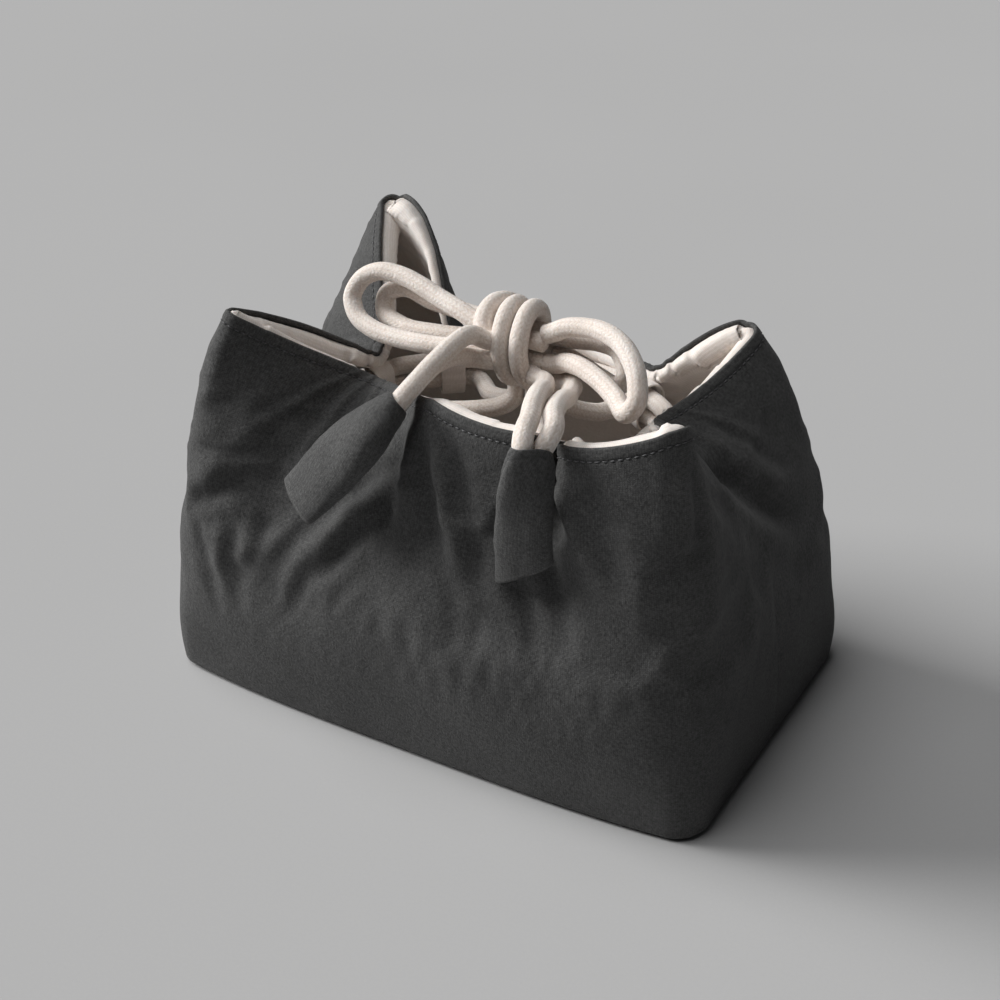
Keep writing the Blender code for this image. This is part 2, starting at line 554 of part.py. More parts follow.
def build():
    clear_scene()
    collection = make_collection("tea_set_storage_bag")
    form = WallForm()
    columns = wall_columns(form)
    outer = form.grid(columns, row_shares)
    normals = surface_normals(outer)
    right = columns.index(max(t for t in columns if t < RIGHT_SEAM))
    left = columns.index(max(t for t in columns if t < LEFT_SEAM))
    halves = {
        "front": list(range(left + 1, len(columns))) + list(range(right + 1)),
        "back": list(range(right + 1, left + 1)),
    }

    batting_in = OUTER_CLOTH + CLEARANCE
    lining_in = batting_in + BATTING + 2 * CLEARANCE
    base_top = OUTER_CLOTH + CLEARANCE
    pad_top = base_top + BASE_PAD + CLEARANCE
    lining_top = pad_top + LINING_CLOTH + CLEARANCE
    layers = (
        ("outer_shell", 0 * layer_offsets(1, 1), len(row_shares), base_top, OUTER_CLOTH,
         BROWN_GREY),
        ("batting", layer_offsets(batting_in, batting_in), BATTING_TOP_ROW + 1, base_top,
         BATTING, WADDING),
        ("lining", layer_offsets(lining_in, batting_in), len(row_shares), lining_top,
         LINING_CLOTH, CREAM),
    )
    for layer, offsets, rows, foot, thickness, colour in layers:
        surfaces = []
        for depth in (offsets, offsets + thickness):
            surface = outer - normals * depth[:, None, None]
            surface[..., 2] += foot * (1 - np.array(row_shares)[:, None]) ** 8
            surface[0, :, 2] = foot
            surfaces.append(surface[:rows])
        for half, chosen in halves.items():
            add_shell(f"{half}_{layer}", *surfaces, chosen, collection, colour)

    add_plate("outer_base", inset_outline(form, columns, 0), 0, OUTER_CLOTH, collection,
              BROWN_GREY)
    pad_in = batting_in + BATTING + CLEARANCE
    add_plate("base_pad", inset_outline(form, columns, pad_in), base_top, BASE_PAD,
              collection, WADDING)
    add_plate("lining_base", inset_outline(form, columns, lining_in), pad_top, LINING_CLOTH,
              collection, CREAM)

    tips = [Vector(form.rim[station]) for station in CINCHES.values()]
    wall = BVHTree.FromPolygons(*lining_faces())
    cinches = {name: Cinch(wall, *places) for name, *places in
               zip(CINCHES, tips[-1:] + tips[:-1], tips, tips[1:] + tips[:1])}
    for name, cinch in cinches.items():
        add_cord_loop(f"cord_loop_{name}", cinch, collection)
    add_knot(collection)
    under = KNOT_CENTRE - Vector((0, 0, KNOT_HALF_HEIGHT + CORD_DIAMETER + CLEARANCE))
    shift = Vector((CORD_SPACING / 2, 0, 0))
    back = Vector((0, CORD_SPACING, 0.4 * CORD_SPACING))
    add_cord("front_drawcord", drawcord_route(
        cinches, ("front_left", "left", "back_left", "back_right", "right", "front_right"),
        -1, "upper", under - shift, under + shift), collection, COTTON)
    add_cord("back_drawcord", drawcord_route(
        cinches, ("back_right", "right", "front_right", "front_left", "left", "back_left"),
        -1, "lower", under + shift + back, under - shift + back), collection, COTTON)
    for name, route in CORD_ROUTES.items():
        add_cord(name, route, collection, COTTON)
    add_tab("left_tab", 0, collection)
    add_tab("right_tab", TAB_SLANT, collection)
    bpy.context.view_layer.update()


build()
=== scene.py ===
"""The look of the tea set bag: dark brushed cotton walls, a cream lining and cotton cords.

Each piece stands in for the CAD nodes that it replaces. Lengths are in metres, +Z is up and
-Y is the front of the bag.
"""

import math

import bpy
import numpy as np
from mathutils import Matrix, Vector, noise
from mathutils.bvhtree import BVHTree


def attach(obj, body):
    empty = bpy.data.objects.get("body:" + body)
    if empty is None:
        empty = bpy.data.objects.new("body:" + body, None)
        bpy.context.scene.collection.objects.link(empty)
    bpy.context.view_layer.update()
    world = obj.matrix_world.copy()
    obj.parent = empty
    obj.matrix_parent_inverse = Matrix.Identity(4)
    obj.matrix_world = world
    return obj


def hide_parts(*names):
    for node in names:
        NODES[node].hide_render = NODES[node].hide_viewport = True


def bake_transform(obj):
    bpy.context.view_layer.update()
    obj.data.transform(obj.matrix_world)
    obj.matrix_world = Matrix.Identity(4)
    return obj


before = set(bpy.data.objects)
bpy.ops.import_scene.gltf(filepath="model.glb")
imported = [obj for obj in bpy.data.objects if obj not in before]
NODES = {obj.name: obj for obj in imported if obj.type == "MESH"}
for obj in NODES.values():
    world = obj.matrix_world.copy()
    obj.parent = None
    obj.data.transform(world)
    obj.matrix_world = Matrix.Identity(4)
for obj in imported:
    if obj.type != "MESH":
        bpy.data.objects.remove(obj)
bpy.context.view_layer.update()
SCENE = bpy.context.scene

MM = 0.001

# The bag's sizes, as in the CAD source but for the depth of the tabs' ends
BASE_LENGTH, BASE_WIDTH, WALL_HEIGHT = 0.191, 0.116, 0.126
HALF_BASE = np.array([BASE_LENGTH / 2, BASE_WIDTH / 2])
BASE_CORNER, WALL_BULGE, CREASE, BOW = 0.009, 0.0036, 0.010, 0.004
OUTER_CLOTH, BATTING, LINING_CLOTH, CLEARANCE = 0.0011, 0.0022, 0.0008, 0.0003
CORD_DIAMETER, CORD_SPACING = 0.0058, 0.0062
LOOP_CLOTH, LOOP_WIDTH, LOOP_SLACK, LOOP_DROP = 0.0010, 0.0080, 0.0014, 0.0080
KNOT_CENTRE = Vector((0.009, -0.005, 0.119))
KNOT_HALF_DEPTH, KNOT_HALF_HEIGHT, KNOT_TURNS = 0.0100, 0.0110, 1.9
TAB_CLOTH = 0.0008
TAB_MOUTH_WIDTH, TAB_MOUTH_DEPTH = 0.0150, 0.0098
TAB_END_WIDTH, TAB_END_DEPTH, TAB_SLANT = 0.0190, 0.0062, 0.0050

# How far the walls swell and the short ones are drawn in, in mm
FRONT_SWELL, BACK_SWELL, BELLY_SWELL, SIDE_WAIST = 4.4, 2.5, 2.6, 1.6

# The outer cloth: its folds' gain over the drawn heights, its hem and stitches, its edges'
# radii, and the frames and furthest move of its simulation
FOLD_GAIN = 1.45
HEM, STITCH_PITCH = 3.1 * MM, 2.3 * MM
RIM_ROLL, FOOT_ROUND = 0.75 * MM, 1.3 * MM
SETTLING_FRAMES, SETTLING_CAP = 18, 0.0014

# A stitch's sections in mm: place along it, radius and rise
STITCH_SECTIONS = ((-0.95, 0.03, -0.25), (-0.75, 0.17, 0.02), (-0.3, 0.23, 0.22),
                   (0.3, 0.23, 0.22), (0.75, 0.17, 0.02), (0.95, 0.03, -0.25))

# The lining: the height of its foot and its lip
LINING_FOOT, LIP_RADIUS = 6.9 * MM, 0.0019

# The rows and the column of the walls' grid whose lengths the cloth's texture follows
WALL_UV_ROW, LINING_UV_ROW, LINING_UV_COLUMN = 40, 60, 200

# Where the lining's lip is fatter: station, reach in stations and the radius it gains in mm
FAT_LIPS = ((17.6, 0.8, 2.9), (0.4, 0.7, 0.8), (8.7, 0.9, 1.4), (10.4, 1.3, 2.3), (15.2, 0.9, 1.8),
            (16.5, 0.9, 1.8), (2.4, 0.9, 0.5), (6.1, 1.0, 2.2))

# A cord: the step between its mesh's rings, the length over which it bends at a joint, its
# domed ends as shares of its radius, outwards and along, and its knit's columns and rows
CORD_STEP, BEND_LENGTH = 0.7 * MM, 9 * MM
CORD_DOME = ((0.02, 0.34), (0.55, 0.27), (0.86, 0.13))
KNIT_WALE, KNIT_PITCH = math.pi * CORD_DIAMETER / 9, 1.5 * MM

TAB_SIDES = 64
FLOOR_HALF = 6.0

# A wave texture's scale for bands one unit apart: a twentieth of a turn
BAND_SCALE = 0.31416

# One row for each turning point of the rim, from the left front ear round to the left
# cinch: wall, place along the wall, x and y as shares of the half base, height, crease,
# lean and lift of the wall below, then the bows of the run to the next point: rim
# outwards, rim upwards, and the belly of the wall below it. The tips of the ears at rows 0,
# 9, 10 and 18 stand further in than in the CAD source
RIM_SHARES = (
    (0, 0.028, -0.719, -0.836, 1.012, 0.36, 0.60, 0.73, 0.40, 0.10, 0.40),
    (0, 0.23, -0.377, -0.310, 0.813, 0.5, 0.80, 0.90, -0.50, -0.40, 0.75),
    (0, 0.46, 0.021, -0.862, 0.933, 0.9, 0.30, 0.80, 0.35, -0.25, 0.25),
    (0, 0.65, 0.387, -0.931, 0.929, 0.5, 0.30, 0.80, 0.00, 0.00, 0.00),
    (0, 0.74, 0.429, -0.569, 0.841, 0.4, 0.80, 0.90, 0.00, 0.00, 0.00),
    (0, 0.83, 0.471, -0.931, 0.921, 0.5, 0.30, 0.80, 0.60, -0.35, 0.50),
    (0, 0.972, 0.816, -0.891, 1.008, 0.4, 0.40, 0.76, 0.00, 0.00, 0.00),
    (1, 0.045, 0.849, -0.764, 1.008, 0.4, 0.40, 0.76, 0.25, -0.25, 0.50),
    (1, 0.49, 0.555, -0.138, 0.841, 0.5, 0.80, 0.90, 0.25, -0.50, 0.50),
    (1, 0.955, 0.695, 0.671, 0.945, 0.4, 0.60, 0.73, 0.00, 0.00, 0.00),
    (2, 0.028, 0.632, 0.760, 0.945, 0.4, 0.60, 0.73, 0.75, 0.75, 0.50),
    (2, 0.22, 0.398, 0.448, 0.825, 0.5, 0.80, 0.90, 0.00, 0.00, 0.50),
    (2, 0.36, 0.157, 0.655, 0.810, 0.8, 0.60, 0.80, 0.00, 0.25, 0.50),
    (2, 0.58, -0.209, 0.655, 0.810, 0.8, 0.60, 0.80, 0.00, 0.00, 0.50),
    (2, 0.72, -0.325, 0.310, 0.810, 0.5, 0.80, 0.90, 1.00, 2.75, 0.50),
    (2, 0.972, -0.702, 0.774, 1.083, 0.36, 1.05, 0.70, 0.00, 0.00, 0.00),
    (3, 0.045, -0.754, 0.691, 1.083, 0.36, 1.05, 0.70, 0.35, 0.50, 2.20),
    (3, 0.50, -0.471, -0.017, 0.794, 0.5, 0.80, 0.90, 0.85, 0.75, 0.75),
    (3, 0.955, -0.770, -0.750, 1.008, 0.36, 0.60, 0.73, 0.00, 0.00, 0.00),
)
# The stations of the cinches, the ears and the side seams
CINCHES = {"front_left": 1, "front_right": 4, "right": 8, "back_right": 11,
           "back_left": 14, "left": 17}
EARS = (0, 18, 6, 7, 9, 10, 15, 16)
RIGHT_SEAM, LEFT_SEAM, STATIONS = 8, 17, len(RIM_SHARES)

# Routes of the free cords, points listed along each one
CORD_ROUTES = {
    "left_bow_loop_outer": (
        (0.0005, -0.0082, 0.1223), (-0.0047, -0.0082, 0.1231), (-0.0117, -0.007, 0.1252),
        (-0.0217, -0.004, 0.1266), (-0.0302, -0.0018, 0.1282), (-0.0387, 0.0, 0.1291),
        (-0.0466, 0.0006, 0.1286), (-0.0531, -0.0002, 0.1248), (-0.0554, -0.0024, 0.1192),
        (-0.0521, -0.0052, 0.1149), (-0.0447, -0.0078, 0.1128), (-0.0342, -0.0098, 0.1127),
        (-0.0221, -0.0112, 0.1138), (-0.0122, -0.0106, 0.115), (-0.0047, -0.0084, 0.1158),
        (0.0007, -0.0082, 0.1158)),
    "left_bow_loop_inner": (
        (0.0007, -0.0018, 0.1221), (-0.0045, -0.0018, 0.1221), (-0.0105, 0.0006, 0.1212),
        (-0.0168, 0.0042, 0.1197), (-0.031, 0.0056, 0.1203), (-0.041, 0.0055, 0.1224),
        (-0.0472, 0.0048, 0.119), (-0.0462, 0.0019, 0.1148), (-0.0387, -0.0012, 0.113),
        (-0.0232, -0.0022, 0.1137), (-0.012, -0.002, 0.115), (-0.0045, -0.0018, 0.1158),
        (0.0007, -0.0018, 0.1158)),
    "right_bow_loop_outer": (
        (0.0175, -0.0082, 0.125), (0.02, -0.0082, 0.1262), (0.0238, -0.0086, 0.1285),
        (0.0331, -0.0105, 0.1313), (0.0427, -0.015, 0.1325), (0.0505, -0.0205, 0.131),
        (0.0558, -0.026, 0.1269), (0.0576, -0.0296, 0.122), (0.0546, -0.0292, 0.1177),
        (0.0484, -0.0238, 0.1185), (0.0396, -0.0176, 0.1196), (0.0307, -0.0129, 0.1198),
        (0.0244, -0.0097, 0.118), (0.0214, -0.0084, 0.1162), (0.0177, -0.0082, 0.1158)),
    "right_bow_loop_inner": (
        (0.0173, -0.0018, 0.1221), (0.0218, -0.0018, 0.1221), (0.034, -0.0026, 0.1236),
        (0.041, -0.0062, 0.1236), (0.0448, -0.0098, 0.1195), (0.042, -0.0084, 0.1142),
        (0.0345, -0.0046, 0.113), (0.027, -0.0026, 0.1146), (0.0218, -0.0018, 0.1158),
        (0.0173, -0.0018, 0.1158)),
    "left_tail_cord_front": (
        (0.0013, -0.0158, 0.1226), (-0.001, -0.0183, 0.1245), (-0.0013, -0.0235, 0.126),
        (-0.0017, -0.0295, 0.1254), (-0.0023, -0.037, 0.1238), (-0.0034, -0.0445, 0.1209),
        (-0.0044, -0.051, 0.1181), (-0.0047, -0.0545, 0.1169), (-0.0059, -0.0568, 0.1154)),
    "left_tail_cord_back": (
        (0.0016, -0.0159, 0.1162), (-0.002, -0.019, 0.1174), (-0.0037, -0.0255, 0.1199),
        (-0.0055, -0.0333, 0.12), (-0.0066, -0.0408, 0.1176), (-0.0076, -0.0473, 0.1146),
        (-0.0078, -0.0506, 0.1132), (-0.0085, -0.052, 0.1123)),
    "right_tail_root_front": (
        (0.0176, -0.014, 0.1132), (0.0206, -0.0156, 0.1138), (0.0232, -0.0188, 0.1149),
        (0.02444, -0.02153, 0.11543), (0.02494, -0.02266, 0.11563)),
    "right_tail_cord_front": (
        (0.02506, -0.02294, 0.11567), (0.02556, -0.02407, 0.11587), (0.028, -0.03, 0.1186),
        (0.0314, -0.0385, 0.1216), (0.035, -0.048, 0.1229), (0.038, -0.055, 0.1229),
        (0.0395, -0.0604, 0.122), (0.0409, -0.0639, 0.1204), (0.0415, -0.0651, 0.1175)),
    "right_tail_root_back": (
        (0.0176, -0.0054, 0.1082), (0.024, -0.0076, 0.1106), (0.0288, -0.0122, 0.1124),
        (0.03103, -0.01814, 0.11345), (0.03145, -0.01931, 0.11361)),
    "right_tail_cord_back": (
        (0.03155, -0.01959, 0.11365), (0.03197, -0.02076, 0.11381), (0.0354, -0.031, 0.1178),
        (0.0388, -0.0408, 0.1209), (0.0423, -0.0492, 0.1226), (0.0451, -0.0546, 0.1218),
        (0.045, -0.0576, 0.1194), (0.0441, -0.0594, 0.1169), (0.0438, -0.0601, 0.115)),
}

# The bight that shows above and to the left of the knot's turns
KNOT_BIGHT = ((0.0000, 0.0050, 0.1262), (-0.0016, 0.0002, 0.1286), (-0.0026, -0.0046, 0.1290),
              (-0.0028, -0.0090, 0.1272), (-0.0014, -0.0122, 0.1240), (0.0010, -0.0128, 0.1212))

# The strands inside the knot: their ends' x, and each one's y and z
KNOT_STRAND_ENDS = 0.0009, 0.0171
KNOT_STRANDS = ((-0.0082, 0.1221), (-0.0082, 0.1158), (-0.0018, 0.1221), (-0.0018, 0.1158))

# Free cords: the nodes that each one stands for, where it runs on inside the knot, the body
# that moves it and the length along it at which it begins to bend
CORDS = (
    ("left_outer_loop_braid", ("left_bow_loop_outer",), (), "left_bow", 0.0),
    ("left_inner_loop_braid", ("left_bow_loop_inner",), (), "left_bow", 0.0),
    ("right_outer_loop_braid", ("right_bow_loop_outer",), (), "right_bow", 0.0),
    ("right_inner_loop_braid", ("right_bow_loop_inner",), (), "right_bow", 0.0),
    ("left_front_tail_braid", ("left_tail_cord_front",), ((0.0064, -0.0112, 0.1216),),
     "left_tail", 0.004),
    ("left_back_tail_braid", ("left_tail_cord_back",), ((0.0066, -0.0115, 0.1150),),
     "left_tail", 0.004),
    ("right_front_tail_braid", ("right_tail_root_front", "right_tail_cord_front"),
     ((0.0134, -0.0110, 0.1132),), "right_tail", 0.0127),
    ("right_back_tail_braid", ("right_tail_root_back", "right_tail_cord_back"),
     ((0.0134, -0.0050, 0.1090),), "right_tail", 0.0215),
)

# Each tab's axis from mouth to end, as shares of the half base and the walls' height, the way
# that its flat end faces, and its mouth's twist
TAB_AXIS_SHARES = {
    "left_tab": ((-0.0681, -0.9172, 0.9103), (-0.1246, -1.0879, 0.8595),
                 (-0.356, -1.1138, 0.6508)),
    "right_tab": ((0.4461, -1.0724, 0.9317), (0.4429, -1.1517, 0.8524),
                 (0.423, -1.0621, 0.6238)),
}
TAB_FACES = {"left_tab": (-0.3, -0.8, 0.5), "right_tab": (0.0, -1.0, 0.12)}
TAB_MOUTH_TWISTS = {"left_tab": math.radians(61), "right_tab": math.radians(-67)}

# The cloth's folds: height and half width in mm, then the crest's line on the walls in mm
FOLDS = (
    (1.9, 3.4, ((-69.1, -59.4, 56.3), (-66.5, -59.9, 43.7), (-64.7, -59.8, 30.0))),
    (1.3, 2.6, ((-56.5, -57.5, 60.0), (-64.0, -59.7, 41.8))),
    (1.1, 2.2, ((-56.6, -58.4, 50.2), (-55.9, -59.2, 36.3))),
    (2.6, 3.6, ((-10.4, -52.0, 86.3), (-25.0, -54.7, 70.4), (-34.3, -56.5, 59.3),
                (-40.7, -58.0, 49.0), (-51.7, -59.0, 34.4))),
    (1.6, 3.0, ((-26.8, -54.8, 68.8), (-29.4, -57.3, 57.6), (-33.6, -58.6, 47.2),
                (-36.1, -59.6, 29.2))),
    (1.0, 2.6, ((-15.8, -57.1, 62.2), (-23.2, -59.0, 46.3))),
    (2.0, 3.8, ((-1.5, -48.0, 111.2), (-1.6, -51.5, 101.4), (-1.0, -55.2, 86.9),
                (-0.5, -58.6, 62.0))),
    (2.2, 3.6, ((4.7, -51.3, 110.1), (7.7, -53.8, 104.1), (12.9, -56.8, 91.7),
                (18.1, -59.2, 74.6), (22.8, -60.0, 60.0))),
    (1.5, 3.0, ((22.0, -60.0, 66.0), (22.0, -60.4, 52.4), (18.5, -60.5, 38.6))),
    (1.3, 2.8, ((24.5, -60.1, 62.8), (29.5, -60.0, 56.0), (34.5, -60.0, 44.8))),
    (2.0, 3.4, ((37.0, -55.6, 86.2), (42.3, -55.6, 73.6), (48.0, -57.8, 62.1),
                (47.0, -59.2, 44.3))),
    (2.0, 4.2, ((45.6, -50.1, 110.4), (51.0, -54.5, 102.2), (55.4, -57.5, 96.1),
                (66.1, -59.8, 76.7))),
    (1.1, 4.5, ((-78.5, -57.3, 71.4), (-67.2, -54.8, 80.0), (-54.7, -49.3, 88.5))),
    (1.0, 4.5, ((-75.7, -54.5, 85.9), (-65.4, -50.7, 92.6), (-54.6, -44.3, 97.4))),
    (0.9, 3.6, ((-72.0, -58.2, 62.2), (-61.9, -55.3, 71.2), (-54.5, -51.9, 76.2))),
    (-1.8, 3.4, ((-59.9, -57.0, 62.8), (-64.9, -58.5, 50.1))),
    (-1.5, 3.2, ((-50.0, -54.9, 68.4), (-56.4, -57.8, 53.7))),
    (-2.4, 5.0, ((66.0, -14.0, 103.0), (72.0, -12.5, 99.8), (78.6, -0.9, 89.5),
                 (88.0, 11.9, 76.7), (93.7, 35.2, 64.2))),
    (1.4, 4.5, ((74.0, -4.5, 101.0), (84.0, 8.9, 87.0), (90.0, 28.0, 76.0))),
    (-1.3, 2.8, ((80.5, -46.9, 119.5), (82.8, -46.3, 113.7), (84.8, -46.6, 106.3),
                 (88.5, -48.6, 91.5), (91.9, -49.3, 74.4))),
    (1.6, 4.5, ((-78.0, 8.0, 92.0), (-88.0, 16.0, 74.0), (-94.0, 22.0, 52.0))),
    (-1.6, 4.0, ((-76.0, -8.0, 92.0), (-88.0, -12.0, 74.0), (-94.0, -20.0, 50.0))),
    (1.8, 4.2, ((-26.0, 42.0, 96.0), (-30.0, 52.0, 78.0), (-40.0, 58.0, 54.0))),
    (-1.5, 3.6, ((-18.0, 46.0, 92.0), (-14.0, 56.0, 70.0), (-16.0, 59.0, 50.0))),
    (1.7, 4.0, ((34.0, 46.0, 94.0), (38.0, 54.0, 76.0), (50.0, 58.0, 52.0))),
    (-1.4, 3.6, ((22.0, 50.0, 92.0), (20.0, 57.0, 68.0), (26.0, 59.0, 46.0))),
)

# Lines and fields of points

def smooth_route(points, step):
    """Evenly spaced points on a smooth curve through the route's own points."""
    route = [Vector(p) for p in points]
    runs = [b - a for a, b in zip(route, route[1:])]
    runs = [runs[0]] + runs + [runs[-1]]
    slopes = [(a / a.length * b.length + b / b.length * a.length) / (a.length + b.length)
              for a, b in zip(runs, runs[1:])]
    dense = []
    for a, b, from_a, to_b in zip(route, route[1:], slopes, slopes[1:]):
        size = (b - a).length
        for u in (i / 12 for i in range(12)):
            dense.append(a * (1 + 2 * u) * (1 - u) ** 2 + from_a * size * u * (1 - u) ** 2
                         + b * u * u * (3 - 2 * u) - to_b * size * u * u * (1 - u))
    dense.append(route[-1])
    return resampled(np.array([tuple(p) for p in dense]), step)


def distances(line):
    """How far along a line each of its points is."""
    return np.concatenate([[0], np.cumsum(np.linalg.norm(np.diff(line, axis=0), axis=1))])


def length_of(line):
    return float(distances(line)[-1])


def at_places(places, lengths, values):
    """Points or directions of a line, read at places along it."""
    return np.stack([np.interp(places, lengths, values[:, i]) for i in range(3)], -1)


def resampled(points, step):
    """Points about a step apart along a line."""
    lengths = distances(points)
    count = max(3, round(lengths[-1] / step) + 1)
    return at_places(np.linspace(0, lengths[-1], count), lengths, points)


def field(points, size, seed):
    """Smooth noise from -1 to 1 at each point, with features of that size."""
    flat = points.reshape(-1, 3) / size + seed * 7.31
    return np.array([noise.noise(p) for p in flat.tolist()]).reshape(points.shape[:-1])


def crests(points, size, seed, narrow, power):
    """Crests from 0 to 1 along the lines where smooth noise crosses zero."""
    return np.clip(1 - narrow * np.abs(field(points, size, seed)), 0, 1) ** power


def smoothstep(low, high, x):
    t = np.clip((x - low) / (high - low), 0, 1)
    return t * t * (3 - 2 * t)


def bell(x, width):
    """A bump that is 1 at zero and almost gone at twice its width."""
    return np.exp(-(x / width) ** 2)


def unit(vectors):
    return vectors / np.linalg.norm(vectors, axis=-1, keepdims=True)


# Meshes

def add_object(name, data, *materials):
    for material in materials:
        data.materials.append(material)
    obj = bpy.data.objects.new(name, data)
    SCENE.collection.objects.link(obj)
    return obj


def cloth_uv(u, v):
    """A grid's texture places, in metres along the cloth, from its columns' and rows' own."""
    return np.stack(np.broadcast_arrays(u[None, :], v[:, None]), -1)


def grid_mesh(name, points, uv, *materials, wrap=False, flip=False):
    """An object whose surface is a grid of points."""
    rows, cols = points.shape[:2]
    at = np.arange(rows * cols).reshape(rows, cols)
    if wrap:
        at = np.concatenate([at, at[:, :1]], axis=1)
    near, far = slice(None, -1), slice(1, None)
    corners = [(near, near), (near, far), (far, far), (far, near)]
    if flip:
        corners = corners[::-1]
    quads = np.stack([at[c] for c in corners], -1).reshape(-1, 4)
    mesh = bpy.data.meshes.new(name)
    mesh.from_pydata(points.reshape(-1, 3).tolist(), [], quads.tolist())
    layer = mesh.uv_layers.new(name="Cloth")
    layer.data.foreach_set("uv", np.stack([uv[c] for c in corners], -2).reshape(-1))
    mesh.shade_smooth()
    return add_object(name, mesh, *materials)


def join(objects, name):
    """Several meshes as one object."""
    first = objects[0]
    with bpy.context.temp_override(active_object=first, object=first,
                                   selected_editable_objects=objects,
                                   selected_objects=objects):
        bpy.ops.object.join()
    first.name = name
    return first


def cord_mesh(name, line, material, seed, sides=24):
    """A soft knitted cord along a line: round, with slight dents and lengthwise wales."""
    radius = CORD_DIAMETER / 2
    along = unit(np.gradient(line, axis=0))
    side = np.cross(along[0], (0.3, 0.2, 1.0))
    across = []
    for a in along:
        side = unit(side - a * (side @ a))
        across.append(side)
    across = np.array(across)
    up = np.cross(along, across)
    angle = np.arange(sides) / sides * 2 * math.pi
    lengths = distances(line)
    ring = (np.cos(angle)[None, :, None] * across[:, None, :]
            + np.sin(angle)[None, :, None] * up[:, None, :])
    surface = line[:, None, :] + ring * radius
    soft = 0.030 * field(surface, 0.006, seed) + 0.014 * field(surface, 0.0016, seed + 3)
    wales = 0.016 * (np.abs(np.cos(angle * 4 + 6 * lengths[:, None] / 0.2)) - 0.6)
    surface = line[:, None, :] + ring * (radius * (1 + soft + wales))[..., None]

    def dome(end, beside):
        out = unit(line[end] - line[beside]) * radius
        return [line[end] + (surface[end] - line[end]) * share + out * rise
                for share, rise in CORD_DOME]

    rise = radius * np.array([0.2, 0.5, 0.9])
    surface = np.concatenate([dome(0, 1), surface, dome(-1, -2)[::-1]])
    lengths = np.concatenate([-rise[::-1], lengths, lengths[-1] + rise])
    u = np.arange(sides + 1) / sides * 2 * math.pi * radius
    return grid_mesh(name, surface, cloth_uv(u, lengths), material, wrap=True)


# The walls' form

def filleted(points, creases, bows, t):
    """The point at t, in stations, on a closed polygon with rounded corners."""
    count = len(points)
    k = int(math.floor(t)) % count
    f = t - math.floor(t)
    after = (k + 1) % count
    length = np.linalg.norm(points[after] - points[k])
    bow = bows[k] * 4 * f * (1 - f)
    near, side = (k, 1) if f < 0.5 else (after, -1)
    distance = length * min(f, 1 - f)
    before_corner, corner, after_corner = (points[(near + i) % count] for i in (-1, 0, 1))
    back = before_corner - corner
    ahead = after_corner - corner
    reach_back = min(creases[near], 0.5 * np.linalg.norm(back))
    reach_ahead = min(creases[near], 0.5 * np.linalg.norm(ahead))
    reach = reach_ahead if side == 1 else reach_back
    if distance >= reach:
        return points[k] + (points[after] - points[k]) * f + bow
    start = corner + back / np.linalg.norm(back) * reach_back
    end = corner + ahead / np.linalg.norm(ahead) * reach_ahead
    q = 0.5 + 0.5 * side * distance / reach
    cosine = np.dot(back, ahead) / np.linalg.norm(back) / np.linalg.norm(ahead)
    pull = 2 * q * (1 - q) * math.sqrt(0.5 * (1 - cosine))
    weights = (1 - q) ** 2, pull, q * q
    return (weights[0] * start + weights[1] * corner + weights[2] * end) / sum(weights) + bow


